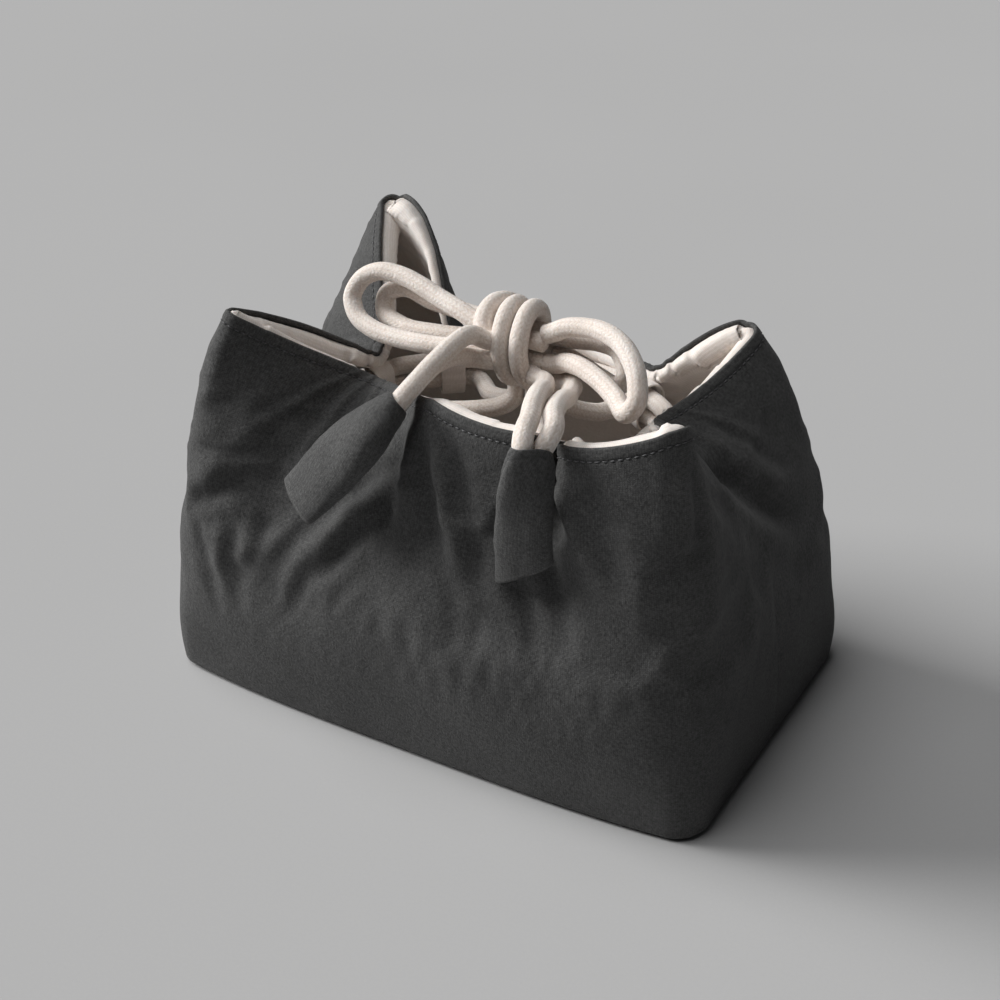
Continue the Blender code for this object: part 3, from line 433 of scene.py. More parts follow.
class WallForm:
    """The outer surface of the four walls, from the base outline up to the rim."""

    def __init__(self):
        corners = HALF_BASE * np.array([(-1, -1), (1, -1), (1, 1), (-1, 1)])
        outwards = np.array([(0, -1), (1, 0), (0, 1), (-1, 0)], float)
        table = np.array(RIM_SHARES)
        walls = table[:, 0].astype(int)
        along = table[:, 1:2]
        base_xy = corners[walls] * (1 - along) + corners[(walls + 1) % 4] * along
        self.base = np.column_stack([base_xy, np.zeros(STATIONS)])
        self.rim = np.column_stack([table[:, 2:4] * HALF_BASE, table[:, 4] * WALL_HEIGHT])
        self.rim_crease = table[:, 5] * CREASE
        at_corner = np.minimum(table[:, 1], 1 - table[:, 1]) < 0.1
        corner = BASE_CORNER * math.tan(math.pi / 8) * at_corner
        self.base_crease = np.maximum(corner, CLEARANCE)
        self.belly_crease = np.where(corner > 0, 1.2 * corner, 1.5 * self.rim_crease)
        rise = table[:, 9:10] * BOW
        self.rim_bow, self.belly_bow = (
            np.hstack([out * BOW * outwards[walls], rise])
            for out in (table[:, 8:9], table[:, 8:9] + table[:, 10:11]))
        full = self.base[:, :2] + self.outward(self.base) * WALL_BULGE
        belly_xy = self.rim[:, :2] + (full - self.rim[:, :2]) * table[:, 6:7]
        self.belly = np.column_stack([belly_xy, self.rim[:, 2] * table[:, 7]])

    def outward(self, points):
        """Horizontal directions away from the base rectangle at points on its outline."""
        into_corner = (np.abs(points[:, :2]) - (HALF_BASE - BASE_CORNER)) / BASE_CORNER
        return unit(np.clip(into_corner, 0, 1) * np.sign(points[:, :2]))

    def outline(self, columns):
        flat = np.zeros((STATIONS, 3))
        return np.array([filleted(self.base, self.base_crease, flat, t) for t in columns])

    def grid(self, columns, rows):
        """Points of the outer surface, one line of points for each row."""
        base = self.outline(columns)
        rim = np.array([filleted(self.rim, self.rim_crease, self.rim_bow, t) for t in columns])
        upper = np.array([filleted(self.belly, self.belly_crease, self.belly_bow, t)
                          for t in columns])
        lower = base.copy()
        lower[:, :2] += self.outward(base) * 1.8 * WALL_BULGE
        lower[:, 2] = 0.45 * rim[:, 2]
        v = np.array(rows)[:, None, None]
        return self.slump((1 - v) ** 3 * base + 3 * v * (1 - v) ** 2 * lower
                          + 3 * v * v * (1 - v) * upper + v ** 3 * rim)

    def slump(self, points):
        """Points of the walls as the cloth stands: long walls bow out, short ones draw in."""
        x, y, z = (points[..., i] for i in range(3))
        along = np.minimum(np.abs(x / HALF_BASE[0]), 1)
        foot = (1 - along ** 3.5) * smoothstep(0.112, 0.040, z)
        belly = (1 - along ** 2.2) * bell(z - 0.040, 0.026)
        front, back = (np.clip(side * y / HALF_BASE[1], 0, 1) ** 4 for side in (-1, 1))
        drawn = bell(z - 0.062, 0.030) * along ** 4
        moved = points.copy()
        moved[..., 1] += (foot * (BACK_SWELL * back - FRONT_SWELL * front)
                          + belly * BELLY_SWELL * (back - front)) * MM
        moved[..., 0] -= np.sign(x) * drawn * SIDE_WAIST * MM
        return moved


def fine_columns(form, step):
    """Places round the rim about a step apart, with one at every station."""
    columns = []
    for k in range(STATIONS):
        longest = max(np.linalg.norm(line[(k + 1) % STATIONS] - line[k])
                      for line in (form.rim, form.base))
        count = max(4, math.ceil(longest / step))
        columns += [k + i / count for i in range(count)]
    return np.array(columns)


def normals_of(grid):
    along = np.roll(grid, -1, axis=1) - np.roll(grid, 1, axis=1)
    normals = np.cross(along, np.gradient(grid, axis=0))
    return normals / np.maximum(np.linalg.norm(normals, axis=2, keepdims=True), 1e-12)


def blurred(values, passes):
    """Values of a closed grid, evened out along its rows."""
    for _ in range(passes):
        values = 0.25 * np.roll(values, 1, axis=1) + 0.5 * values \
            + 0.25 * np.roll(values, -1, axis=1)
    return values


class Walls:
    """The fine grid of the walls, with its distances, for cloth and lining."""

    def __init__(self):
        self.form = WallForm()
        self.columns = fine_columns(self.form, 0.95 * MM)
        self.rows = np.concatenate([np.linspace(0, 0.95, 104), np.linspace(0.95, 1, 22)[1:]])
        self.grid = self.form.grid(self.columns, self.rows)
        z = self.grid[..., 2:]
        soft = smoothstep(0.006, 0.040, z) * smoothstep(0.112, 0.088, z)
        rounded = blurred(self.grid, 170)
        rounded[..., 2:] = z
        self.grid += (rounded - self.grid) * soft
        self.normals = normals_of(self.grid)
        steps = np.linalg.norm(np.roll(self.grid, -1, axis=1) - self.grid, axis=2)
        self.around = np.concatenate([np.zeros((len(self.rows), 1)),
                                      np.cumsum(steps, axis=1)[:, :-1]], axis=1)
        self.girth = steps.sum(axis=1)[:, None]
        rises = np.linalg.norm(np.diff(self.grid, axis=0), axis=2)
        self.height = np.concatenate([np.zeros((1, len(self.columns))),
                                      np.cumsum(rises, axis=0)])
        self.below_rim = self.height[-1] - self.height

    def column(self, station):
        return int(np.argmin(np.abs(self.columns - station)))

    def halves(self, row):
        """Each half's name, its columns from seam to seam and their places along a row."""
        count = len(self.columns)
        right, left = self.column(RIGHT_SEAM), self.column(LEFT_SEAM)
        for half, first, last in (("front", left, count + right), ("back", right, left)):
            chosen = np.arange(first, last + 1)
            index = chosen % count
            run = self.around[row][index] + np.where(chosen >= count, self.girth[row], 0)
            yield half, index, run

    def stations_from(self, station):
        """How many stations each column is away from one, the shorter way round."""
        return np.abs((self.columns - station + STATIONS / 2) % STATIONS - STATIONS / 2)

    def beside(self, station):
        """Signed distance along each row from a station."""
        at = self.around[:, self.column(station)][:, None]
        return (self.around - at + self.girth / 2) % self.girth - self.girth / 2

    def gathers(self, size, count, reach, seed):
        """Ripples that fan out under every cinch."""
        lift = np.zeros(self.grid.shape[:2])
        for i, station in enumerate(CINCHES.values()):
            side, down = self.beside(station), self.below_rim + 11 * MM
            angle = np.arctan2(side, down)
            radius = np.hypot(side, down)
            here = np.stack([angle * 3, radius * 12, 0 * angle + i + seed], -1)
            wander = field(here, 1.0, seed + i)
            wave = np.cos(count * (angle + 0.14 * wander) + 1.7 * i)
            wave = 0.7 * wave + 0.3 * np.cos(1.9 * count * angle + 3 * wander + i)
            strength = bell(radius, reach) * smoothstep(0.95, 0.45, np.abs(angle))
            lift += size * wave * strength * (0.65 + 0.5 * wander)
        return lift


def rim_frame(surface):
    """A surface's rim: its points, the ways out of the wall there and the ways up along it."""
    return surface[-1], normals_of(surface)[-1], unit(surface[-1] - surface[-3])


def inset_rings(outline, inwards, insets):
    """Rings inside an outline, from each one's inset and height in mm."""
    rings = []
    for inset, z in insets:
        ring = outline.copy()
        ring[:, :2] += inwards * inset * MM
        ring[:, 2] = z * MM
        rings.append(ring)
    return rings


# The cloth of the walls

def fold_lift(points):
    """How far each point is lifted by the drawn folds, each a crest between two dips."""
    flat = points.reshape(-1, 3)
    lift = np.zeros(len(flat))
    for height, width, corners in FOLDS:
        line = smooth_route(np.array(corners) * MM, 3 * MM)
        nearest = np.full(len(flat), 1.0)
        place = np.zeros(len(flat))
        for i, (a, b) in enumerate(zip(line, line[1:])):
            ab = b - a
            f = np.clip(((flat - a) @ ab) / (ab @ ab), 0, 1)
            distance = np.linalg.norm(flat - (a + f[:, None] * ab), axis=1)
            closer = distance < nearest
            nearest = np.where(closer, distance, nearest)
            place = np.where(closer, (i + f) / (len(line) - 1), place)
        r = nearest / (width * MM)
        shape = bell(r, 1) - 0.35 * bell(r - 2.0, 0.9)
        fade = smoothstep(-0.15, 0.30, place) * smoothstep(1.10, 0.45, place)
        lift += height * MM * shape * fade
    return lift.reshape(points.shape[:2])


def outer_surface(walls):
    """The dark cloth's surface over the padding, with its folds, hem and seams."""
    grid, below = walls.grid, walls.below_rim
    x, z = grid[..., 0], grid[..., 2]
    swells = 0.9 * MM * field(grid, 0.034, 2.0)
    dents = 0.35 * MM * field(grid, 0.013, 3.0) * smoothstep(0.030, 0.070, z)
    level = grid * np.array([0.55, 0.8, 1.6])
    ridges = 0.35 * MM * crests(level, 0.012, 4.0, 2.6, 1.5) * smoothstep(0.055, 0.085, z)
    slanting = np.stack([x - 0.7 * z, grid[..., 1], 0.45 * (z + 0.7 * x)], -1)
    belt = smoothstep(0.038, 0.056, z) * smoothstep(0.090, 0.070, z) * smoothstep(0.045, -0.015, x)
    crumples = 0.38 * MM * crests(slanting, 0.019, 5.0, 2.0, 1.2) * belt
    lift = (walls.gathers(1.35 * MM, 15, 56 * MM, 1.0) + FOLD_GAIN * fold_lift(grid)
            + swells + dents + ridges + crumples)
    lift *= smoothstep(0.002, 0.030, z)
    lift *= 0.35 + 0.65 * smoothstep(0.0, 0.014, below)
    turned_edge = 0.16 * MM * bell(below - 1.5 * MM, 1.1 * MM)
    groove = 0.26 * MM * bell(below - HEM, 0.42 * MM)
    pull = np.cos(2 * math.pi * walls.around / STITCH_PITCH)
    puckers = 0.07 * MM * pull * bell(below - HEM, 1.3 * MM)
    lift = lift + turned_edge - groove + puckers
    for seam in (RIGHT_SEAM, LEFT_SEAM):
        lift -= 0.16 * MM * bell(walls.beside(seam), 0.8 * MM)
    return grid + walls.normals * lift[..., None]


def settled_cloth(walls, surface):
    """The outer cloth after a short simulation: slack cloth pressed outwards by its padding."""
    rows = np.append(np.arange(0, 103, 3), [106, 110, 115, len(walls.rows) - 1])
    cols = np.arange(0, len(walls.columns), 4)
    coarse = surface[rows][:, cols]
    uv = np.zeros((len(rows), len(cols) + 1, 2))
    cloth = grid_mesh("settling_cloth", coarse, uv, wrap=True)
    held = (smoothstep(0.062, 0.030, coarse[..., 2])
            + smoothstep(26 * MM, 12 * MM, walls.below_rim[rows][:, cols]))
    group = cloth.vertex_groups.new(name="held")
    for i, weight in enumerate(np.clip(held, 0, 1).ravel().tolist()):
        group.add([i], weight, "REPLACE")
    modifier = cloth.modifiers.new("settle", "CLOTH")
    settings = modifier.settings
    settings.vertex_group_mass = "held"
    settings.quality, settings.mass = 6, 0.2
    settings.tension_stiffness = settings.compression_stiffness = 20
    settings.shear_stiffness, settings.bending_stiffness = 8, 0.4
    settings.shrink_min = -0.028
    settings.use_pressure, settings.uniform_pressure_force = True, 2.0
    settings.effector_weights.gravity = 0.25
    modifier.collision_settings.use_collision = False
    modifier.point_cache.frame_end = SETTLING_FRAMES
    for number in range(1, SETTLING_FRAMES + 1):
        SCENE.frame_set(number)
    settled = cloth.evaluated_get(bpy.context.evaluated_depsgraph_get()).data
    moved = np.zeros(coarse.size)
    settled.vertices.foreach_get("co", moved)
    moved = moved.reshape(coarse.shape) - coarse
    SCENE.frame_set(1)
    bpy.data.objects.remove(cloth)
    size = np.linalg.norm(moved, axis=2, keepdims=True)
    moved *= np.tanh(size / SETTLING_CAP) * SETTLING_CAP / np.maximum(size, 1e-9)
    level, place = np.arange(len(walls.rows)), np.arange(len(walls.columns))
    closed = np.append(cols, len(walls.columns))
    finer = np.zeros(surface.shape)
    for k in range(3):
        ring = np.concatenate([moved[..., k], moved[:, :1, k]], axis=1)
        across = np.array([np.interp(place, closed, row) for row in ring])
        finer[..., k] = np.array([np.interp(level, rows, column) for column in across.T]).T
    finer = blurred(finer, 6)
    for _ in range(4):
        finer[1:-1] = 0.25 * finer[:-2] + 0.5 * finer[1:-1] + 0.25 * finer[2:]
    return surface + finer


def wall_panels(walls, surface, material):
    """The front and back panels: rolled over at the rim and turned in under the base."""
    edge, out, up = rim_frame(surface)
    turned = []
    for a in np.radians((25, 50, 75, 100, 130, 165)):
        turned.append(edge + out * RIM_ROLL * (math.cos(a) - 1) + up * RIM_ROLL * math.sin(a))
    for depth in (1.5, 4.0):
        turned.append(edge - out * 2 * RIM_ROLL - up * depth * MM)
    inwards = -walls.form.outward(walls.grid[0])
    low = surface.copy()
    z = np.clip(low[..., 2] / FOOT_ROUND, 0, 1)
    draw = FOOT_ROUND * (1 - np.sqrt(1 - (1 - z) ** 2)) * 0.75
    low[..., :2] += draw[..., None] * inwards[None]
    low[0, :, 2] = 0.25 * MM
    under = inset_rings(walls.grid[0], inwards, ((6.0, 0.9), (2.4, 0.5), (1.4, 0.12)))
    points = np.concatenate([under, low, turned])
    height = walls.height.mean(axis=1)
    over = height[-1] + np.array([0.4, 0.8, 1.2, 1.6, 2.0, 2.6, 4.0, 6.5]) * MM
    v = np.concatenate([[-6 * MM, -3 * MM, -1 * MM], height, over])
    for half, index, run in walls.halves(WALL_UV_ROW):
        panel = grid_mesh(f"{half}_wall", points[:, index], cloth_uv(run, v), material)
        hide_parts(f"{half}_outer_shell", f"{half}_batting")
        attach(panel, "bag")


def lip_size(walls, edge):
    """The radius of the lining's soft lip at each column of the rim."""
    fray = 0.20 * MM * field(edge[None], 0.0011, 12.0)[0]
    puff = 0.45 * field(edge[None], 0.028, 13.0)[0] + 0.08 * field(edge[None], 0.009, 15.0)[0]
    fat = np.zeros(len(edge))
    for station, reach, more in FAT_LIPS:
        gap = walls.stations_from(station)
        fat = np.maximum(fat, more * smoothstep(reach, 0.35 * reach, gap))
    size = LIP_RADIUS + (fat + puff) * MM + fray
    for station in CINCHES.values():
        size *= 1 - 0.45 * smoothstep(0.30, 0.05, walls.stations_from(station))
    return size


def lining_surface(walls, surface):
    """The lining below its lip: padded out, wrinkled, and even at the ears."""
    smooth = unit(blurred(normals_of(walls.grid), 10))
    below = walls.below_rim
    full = 1.5 * MM + 1.94 * lip_size(walls, surface[-1])
    depth = full + (4.2 * MM - full) * smoothstep(0.006, 0.034, below)
    along_rim = np.stack([walls.around / 0.040, below / 0.0085,
                          0.5 * field(walls.grid, 0.025, 8.0)], -1)
    wrinkles = 1.1 * MM * crests(along_rim, 1.0, 9.0, 2.6, 1.5) * bell(below, 0.034)
    lumps = 1.2 * MM * field(walls.grid, 0.022, 10.0) + 0.35 * MM * field(walls.grid, 0.007, 11.0)
    bulge = walls.gathers(0.8 * MM, 12, 42 * MM, 6.0) + wrinkles + lumps
    bulge *= smoothstep(0.004, 0.012, below)
    sunk = ((walls.grid - surface) * walls.normals).sum(axis=2)
    depth = np.maximum(depth + bulge, np.maximum(sunk, 0) + 2.0 * MM)
    inner = walls.grid - smooth * depth[..., None]
    near_ear = np.zeros(len(walls.columns))
    for station in EARS:
        near_ear = np.maximum(near_ear, smoothstep(0.5, 0.1, walls.stations_from(station)))
    for _ in range(14):
        even = 0.5 * (np.roll(inner, 1, axis=1) + np.roll(inner, -1, axis=1))
        inner += (even - inner) * 0.5 * near_ear[None, :, None]
    return inner


def lining_panels(walls, surface, material):
    """The cream lining's two halves, each with its lip over the rim's inner edge."""
    inner = lining_surface(walls, surface)
    rows = np.arange(0, len(walls.rows) - 20)
    lower = inner[rows].copy()
    lift = smoothstep(0.03, 0.0, walls.rows[rows])[:, None]
    lower[..., 2] = np.maximum(lower[..., 2], LINING_FOOT * lift)
    edge, out, up = rim_frame(surface)
    size = lip_size(walls, edge)[:, None]
    centre = edge - out * (1.40 * MM + size * 0.97) - up * (size - 1.5 * MM)
    wrinkled = np.zeros((1, len(edge), 3))
    wrinkled[..., 0] = walls.around[-1] / 0.045
    lip = []
    for degrees in (195, 178, 161, 144, 127, 110, 94, 78, 62, 46, 30, 12, -10):
        a = math.radians(degrees)
        wrinkled[..., 1] = degrees / 22
        ring = size * (1 + 0.13 * field(wrinkled, 1.0, 16.0)[0][:, None])
        lip.append(centre + out * ring * math.cos(a) + up * ring * math.sin(a))
    share = np.array([0.2, 0.4, 0.6, 0.8])[:, None, None]
    bridge = lower[-1] + (lip[0] - lower[-1]) * share
    points = np.concatenate([lower, bridge, np.array(lip)])
    v = distances(points[:, LINING_UV_COLUMN])
    for half, index, run in walls.halves(LINING_UV_ROW):
        part = grid_mesh(f"{half}_lining_cloth", points[:, index], cloth_uv(run, v), material,
                         flip=True)
        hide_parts(f"{half}_lining")
        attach(part, "bag")


def base_pieces(walls, outer, cream):
    """The dark base panel and the padded lining floor."""
    outline = walls.form.outline(walls.columns[::2])
    inwards = -walls.form.outward(outline)
    plan = walls.form.slump(outline)

    def disc(insets, shares, height_share):
        rings = inset_rings(plan, inwards, insets)
        rings += [rings[-1] * (share, share, height_share) for share in shares]
        return np.array(rings)

    def plate(name, points, material):
        closed = np.concatenate([points, points[:, :1]], axis=1)
        return grid_mesh(name, points, closed[..., :2], material, wrap=True)

    points = disc(((1.0, 0.55), (1.2, 0.18), (2.0, 0.06), (8.0, 0.02)),
                  (0.75, 0.5, 0.25, 0.02), 1.5)
    base = plate("base_panel", points, outer)
    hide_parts("outer_base")
    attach(base, "bag")
    points = disc(((4.6, 5.8), (4.9, 6.6), (6.0, 7.1), (9.0, 7.4), (16.0, 7.6), (28.0, 7.7)),
                  (0.85, 0.68, 0.5, 0.34, 0.18, 0.03), 1.0)
    points[2:, :, 2] += 0.5 * MM * field(points[2:], 0.03, 14.0)
    pad = plate("floor_pad", points, cream)
    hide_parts("base_pad", "lining_base")
    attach(pad, "bag")


def rim_stitches(walls, surface, material):
    """The row of stitches that holds the lining, along the hem under the rim."""
    normals = normals_of(surface)
    line, face = (
        np.array([at_places(HEM, walls.below_rim[::-1, j], values[::-1, j])
                  for j in range(len(walls.columns))]) for values in (surface, normals))
    angle = np.arange(6) * math.pi / 3
    places, sizes, rises = (np.array(row) * MM for row in zip(*STITCH_SECTIONS))
    last = 6 * (len(STITCH_SECTIONS) - 1)
    stitch = [(i + k, i + (k + 1) % 6, i + 6 + (k + 1) % 6, i + 6 + k)
              for i in range(0, last, 6) for k in range(6)]
    stitch += [(5, 4, 3, 2, 1, 0), tuple(range(last, last + 6))]
    for half, index, _ in walls.halves(-1):
        index = index[2:-2]
        lengths = distances(line[index])
        total = int(lengths[-1] / STITCH_PITCH)
        at = (np.arange(total)[:, None] + 0.5) * STITCH_PITCH + places
        middle = at_places(at, lengths, line[index])
        out = unit(at_places(at, lengths, face[index]))
        along = unit(at_places(at + 0.2 * MM, lengths, line[index]) - middle)
        side = np.cross(out, along)[..., None, :]
        rise = (rises[:, None] + sizes[:, None] * np.sin(angle))[..., None]
        reach = (sizes[:, None] * np.cos(angle))[..., None]
        points = middle[..., None, :] + out[..., None, :] * rise + side * reach
        faces = [tuple(s * (last + 6) + corner for corner in face_corners)
                 for s in range(total) for face_corners in stitch]
        mesh = bpy.data.meshes.new(f"{half}_rim_stitches")
        mesh.from_pydata(points.reshape(-1, 3).tolist(), [], faces)
        mesh.shade_smooth()
        stitches = add_object(f"{half}_rim_stitches", mesh, material)
        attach(stitches, "bag")


# Cords, their loops and the knot

class Cinch:
    """Where one cloth loop holds the drawcords, against the lining at a cinch."""

    def __init__(self, wall, before, tip, after):
        inwards = (KNOT_CENTRE - tip) * Vector((1, 1, 0))
        inwards.normalize()
        across = Vector((inwards.y, -inwards.x, 0))
        run = (after - before) * Vector((1, 1, 0))
        self.heading = (across + run.normalized()).normalized()
        self.outwards = self.heading.cross(Vector((0, 0, 1)))
        half_loop = CORD_DIAMETER / 2 + LOOP_SLACK + LOOP_CLOTH
        lining = OUTER_CLOTH + BATTING + LINING_CLOTH + 3 * CLEARANCE
        middle = tip + inwards * (lining + half_loop + LOOP_WIDTH)
        middle.z -= LOOP_DROP + CORD_SPACING / 2
        gaps = []
        sides = [(side * half_loop, share * CORD_SPACING / 2)
                 for side in (-1, 1) for share in (-0.6, -0.2, 0.2, 0.6)]
        for x, z in racetrack(half_loop, CORD_SPACING / 2, 18) + sides:
            for share in (-1, -0.75, -0.5, -0.25, 0, 0.25, 0.5, 0.75, 1):
                start = middle + self.outwards * x + self.heading * share * LOOP_WIDTH / 2
                hit = wall.ray_cast(start + Vector((0, 0, z)), -inwards)
                if hit[0]:
                    gaps.append(hit[3])
        self.middle = middle - inwards * (min(gaps) - 3 * CLEARANCE)
        self.upper = self.middle + Vector((0, 0, CORD_SPACING / 2))
        self.lower = self.middle - Vector((0, 0, CORD_SPACING / 2))


def racetrack(radius, half_run, steps):
    """An outline with two straight sides and two half-round ends."""
    points = []
    for sign in (1, -1):
        for i in range(steps + 1):
            angle = math.pi * i / steps - (0 if sign == 1 else math.pi)
            points.append((radius * math.cos(angle), sign * half_run + radius * math.sin(angle)))
    return points


def drawcord_route(cinches, order, level, start, end):
    """A drawcord's run from the knot, straight through each cloth loop, and back up."""
    points = [start]
    for name in order:
        place = getattr(cinches[name], level)
        half = cinches[name].heading * -LOOP_WIDTH / 2
        points += [place - 1.6 * half, place - 0.5 * half, place + 0.5 * half, place + 1.6 * half]
    points.append(end)
    for index, share in ((-1, 0.4), (1, 0.6)):
        a, b = (points[0], points[1]) if index == 1 else (points[-2], points[-1])
        dip = a.lerp(b, share)
        dip.z = min(a.z, b.z)
        points.insert(index, dip)
    return points


def cord_cinches():
    """The cinches by name, found against the lining's solids."""
    form = WallForm()
    points, faces = [], []
    for half in ("front", "back"):
        mesh = NODES[half + "_lining"].data
        faces += [[len(points) + i for i in face.vertices] for face in mesh.polygons]
        points += [vertex.co.copy() for vertex in mesh.vertices]
    wall = BVHTree.FromPolygons(points, faces)
    tips = [Vector(form.rim[station]) for station in CINCHES.values()]
    return {name: Cinch(wall, *places) for name, *places in
            zip(CINCHES, tips[-1:] + tips[:-1], tips, tips[1:] + tips[:1])}


def braided(name, route, step, path_step, cotton, **form):
    """A cord along a route, and the fine line that it follows."""
    line = smooth_route(route, step)
    piece = cord_mesh(name, line, cotton, **form)
    return piece, line


def make_cords(cinches, cotton):
    """The bow's loops and tails, and the drawcords."""
    for i, (name, nodes, inside, body, bend) in enumerate(CORDS):
        route = [*inside, *CORD_ROUTES[nodes[0]]]
        for node in nodes[1:]:
            route = route[:-1] + list(CORD_ROUTES[node][1:])
        piece, line = braided(name, route, CORD_STEP, 2 * MM, cotton, seed=i + 1.0)
        first = round(bend / CORD_STEP)
        start = Vector(line[first])
        along = Vector(line[first + 6]) - start
        along.normalize()
        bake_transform(piece)
        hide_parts(*nodes)
    under = KNOT_CENTRE - Vector((0, 0, KNOT_HALF_HEIGHT + CORD_DIAMETER + CLEARANCE))
    shift = Vector((CORD_SPACING / 2, 0, 0))
    into = Vector((0, 0, 5.5 * MM))
    back = Vector((0, CORD_SPACING, 0.4 * CORD_SPACING))
    drawcords = {
        "front_drawcord": drawcord_route(
            cinches, ("front_left", "left", "back_left", "back_right", "right", "front_right"),
            "upper", under - shift, under + shift),
        "back_drawcord": drawcord_route(
            cinches, ("back_right", "right", "front_right", "front_left", "left", "back_left"),
            "lower", under + shift + back, under - shift + back),
    }
    for i, (name, route) in enumerate(drawcords.items()):
        route = [route[0] + into, *route, route[-1] + into]
        piece, _ = braided(name + "_braid", route, 1.1 * MM, 2.5 * MM, cotton, seed=20.0 + i,
                           sides=18)
        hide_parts(name)
        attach(piece, "bag")


def make_knot(cotton):
    """The two turns that bind the bow and the four strands that pass through them."""
    turns = []
    for share in np.linspace(-0.5, 0.5, 241):
        angle = 2 * math.pi * KNOT_TURNS * share
        turns.append((KNOT_CENTRE.x + CORD_SPACING * KNOT_TURNS * share,
                      KNOT_CENTRE.y + KNOT_HALF_DEPTH * math.cos(angle),
                      KNOT_CENTRE.z + KNOT_HALF_HEIGHT * math.sin(angle)))
    wraps = join([cord_mesh("knot_turns", resampled(np.array(turns), CORD_STEP), cotton, 31.0),
                  cord_mesh("knot_bight", smooth_route(KNOT_BIGHT, CORD_STEP), cotton, 33.0)],
                 "knot_wraps_braid")
    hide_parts("bow_knot_wraps")
    strands = []
    for i, (y, z) in enumerate(KNOT_STRANDS):
        line = np.linspace((KNOT_STRAND_ENDS[0], y, z), (KNOT_STRAND_ENDS[1], y, z), 24)
        strands.append(cord_mesh(f"knot_strand_{i}", line, cotton, 40.0 + i))
    core = join(strands, "knot_core_strands")
    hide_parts("bow_knot_throat")
    for piece in (wraps, core):
        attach(piece, "bag")


def make_cord_loops(cinches, material):
    """The cloth loops that carry the drawcords behind each gather."""
    outline = np.array(racetrack(CORD_DIAMETER / 2 + LOOP_SLACK + LOOP_CLOTH / 2,
                                 CORD_SPACING / 2, 18))
    normal = np.gradient(outline, axis=0)
    normal = unit(np.column_stack([normal[:, 1], -normal[:, 0]]))
    a = np.linspace(0, 2 * math.pi, 28, endpoint=False)
    section = np.column_stack([
        np.copysign(np.abs(np.cos(a)) ** 0.35, np.cos(a)) * LOOP_WIDTH / 2 * 0.99,
        np.copysign(np.abs(np.sin(a)) ** 0.6, np.sin(a)) * LOOP_CLOTH / 2])
    flat = outline[:, None] + normal[:, None] * section[None, :, 1:2]
    u = np.append(section[:, 0], section[0, 0])
    for number, (name, cinch) in enumerate(cinches.items()):
        outwards, heading = np.array(cinch.outwards), np.array(cinch.heading)
        points = (np.array(cinch.middle) + flat[..., 0:1] * outwards
                  + flat[..., 1:2] * np.array((0, 0, 1.0)) + section[None, :, 0:1] * heading)
        points = np.concatenate([points, points[:1]])
        points += 0.10 * MM * field(points, 0.003, 50.0 + number)[..., None] * outwards
        v = np.linspace(0, 1, len(points)) * length_of(outline)
        loop = grid_mesh(f"cloth_loop_{name}", points, cloth_uv(u, v), material, wrap=True)
        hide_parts(f"cord_loop_{name}")
        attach(loop, "bag")


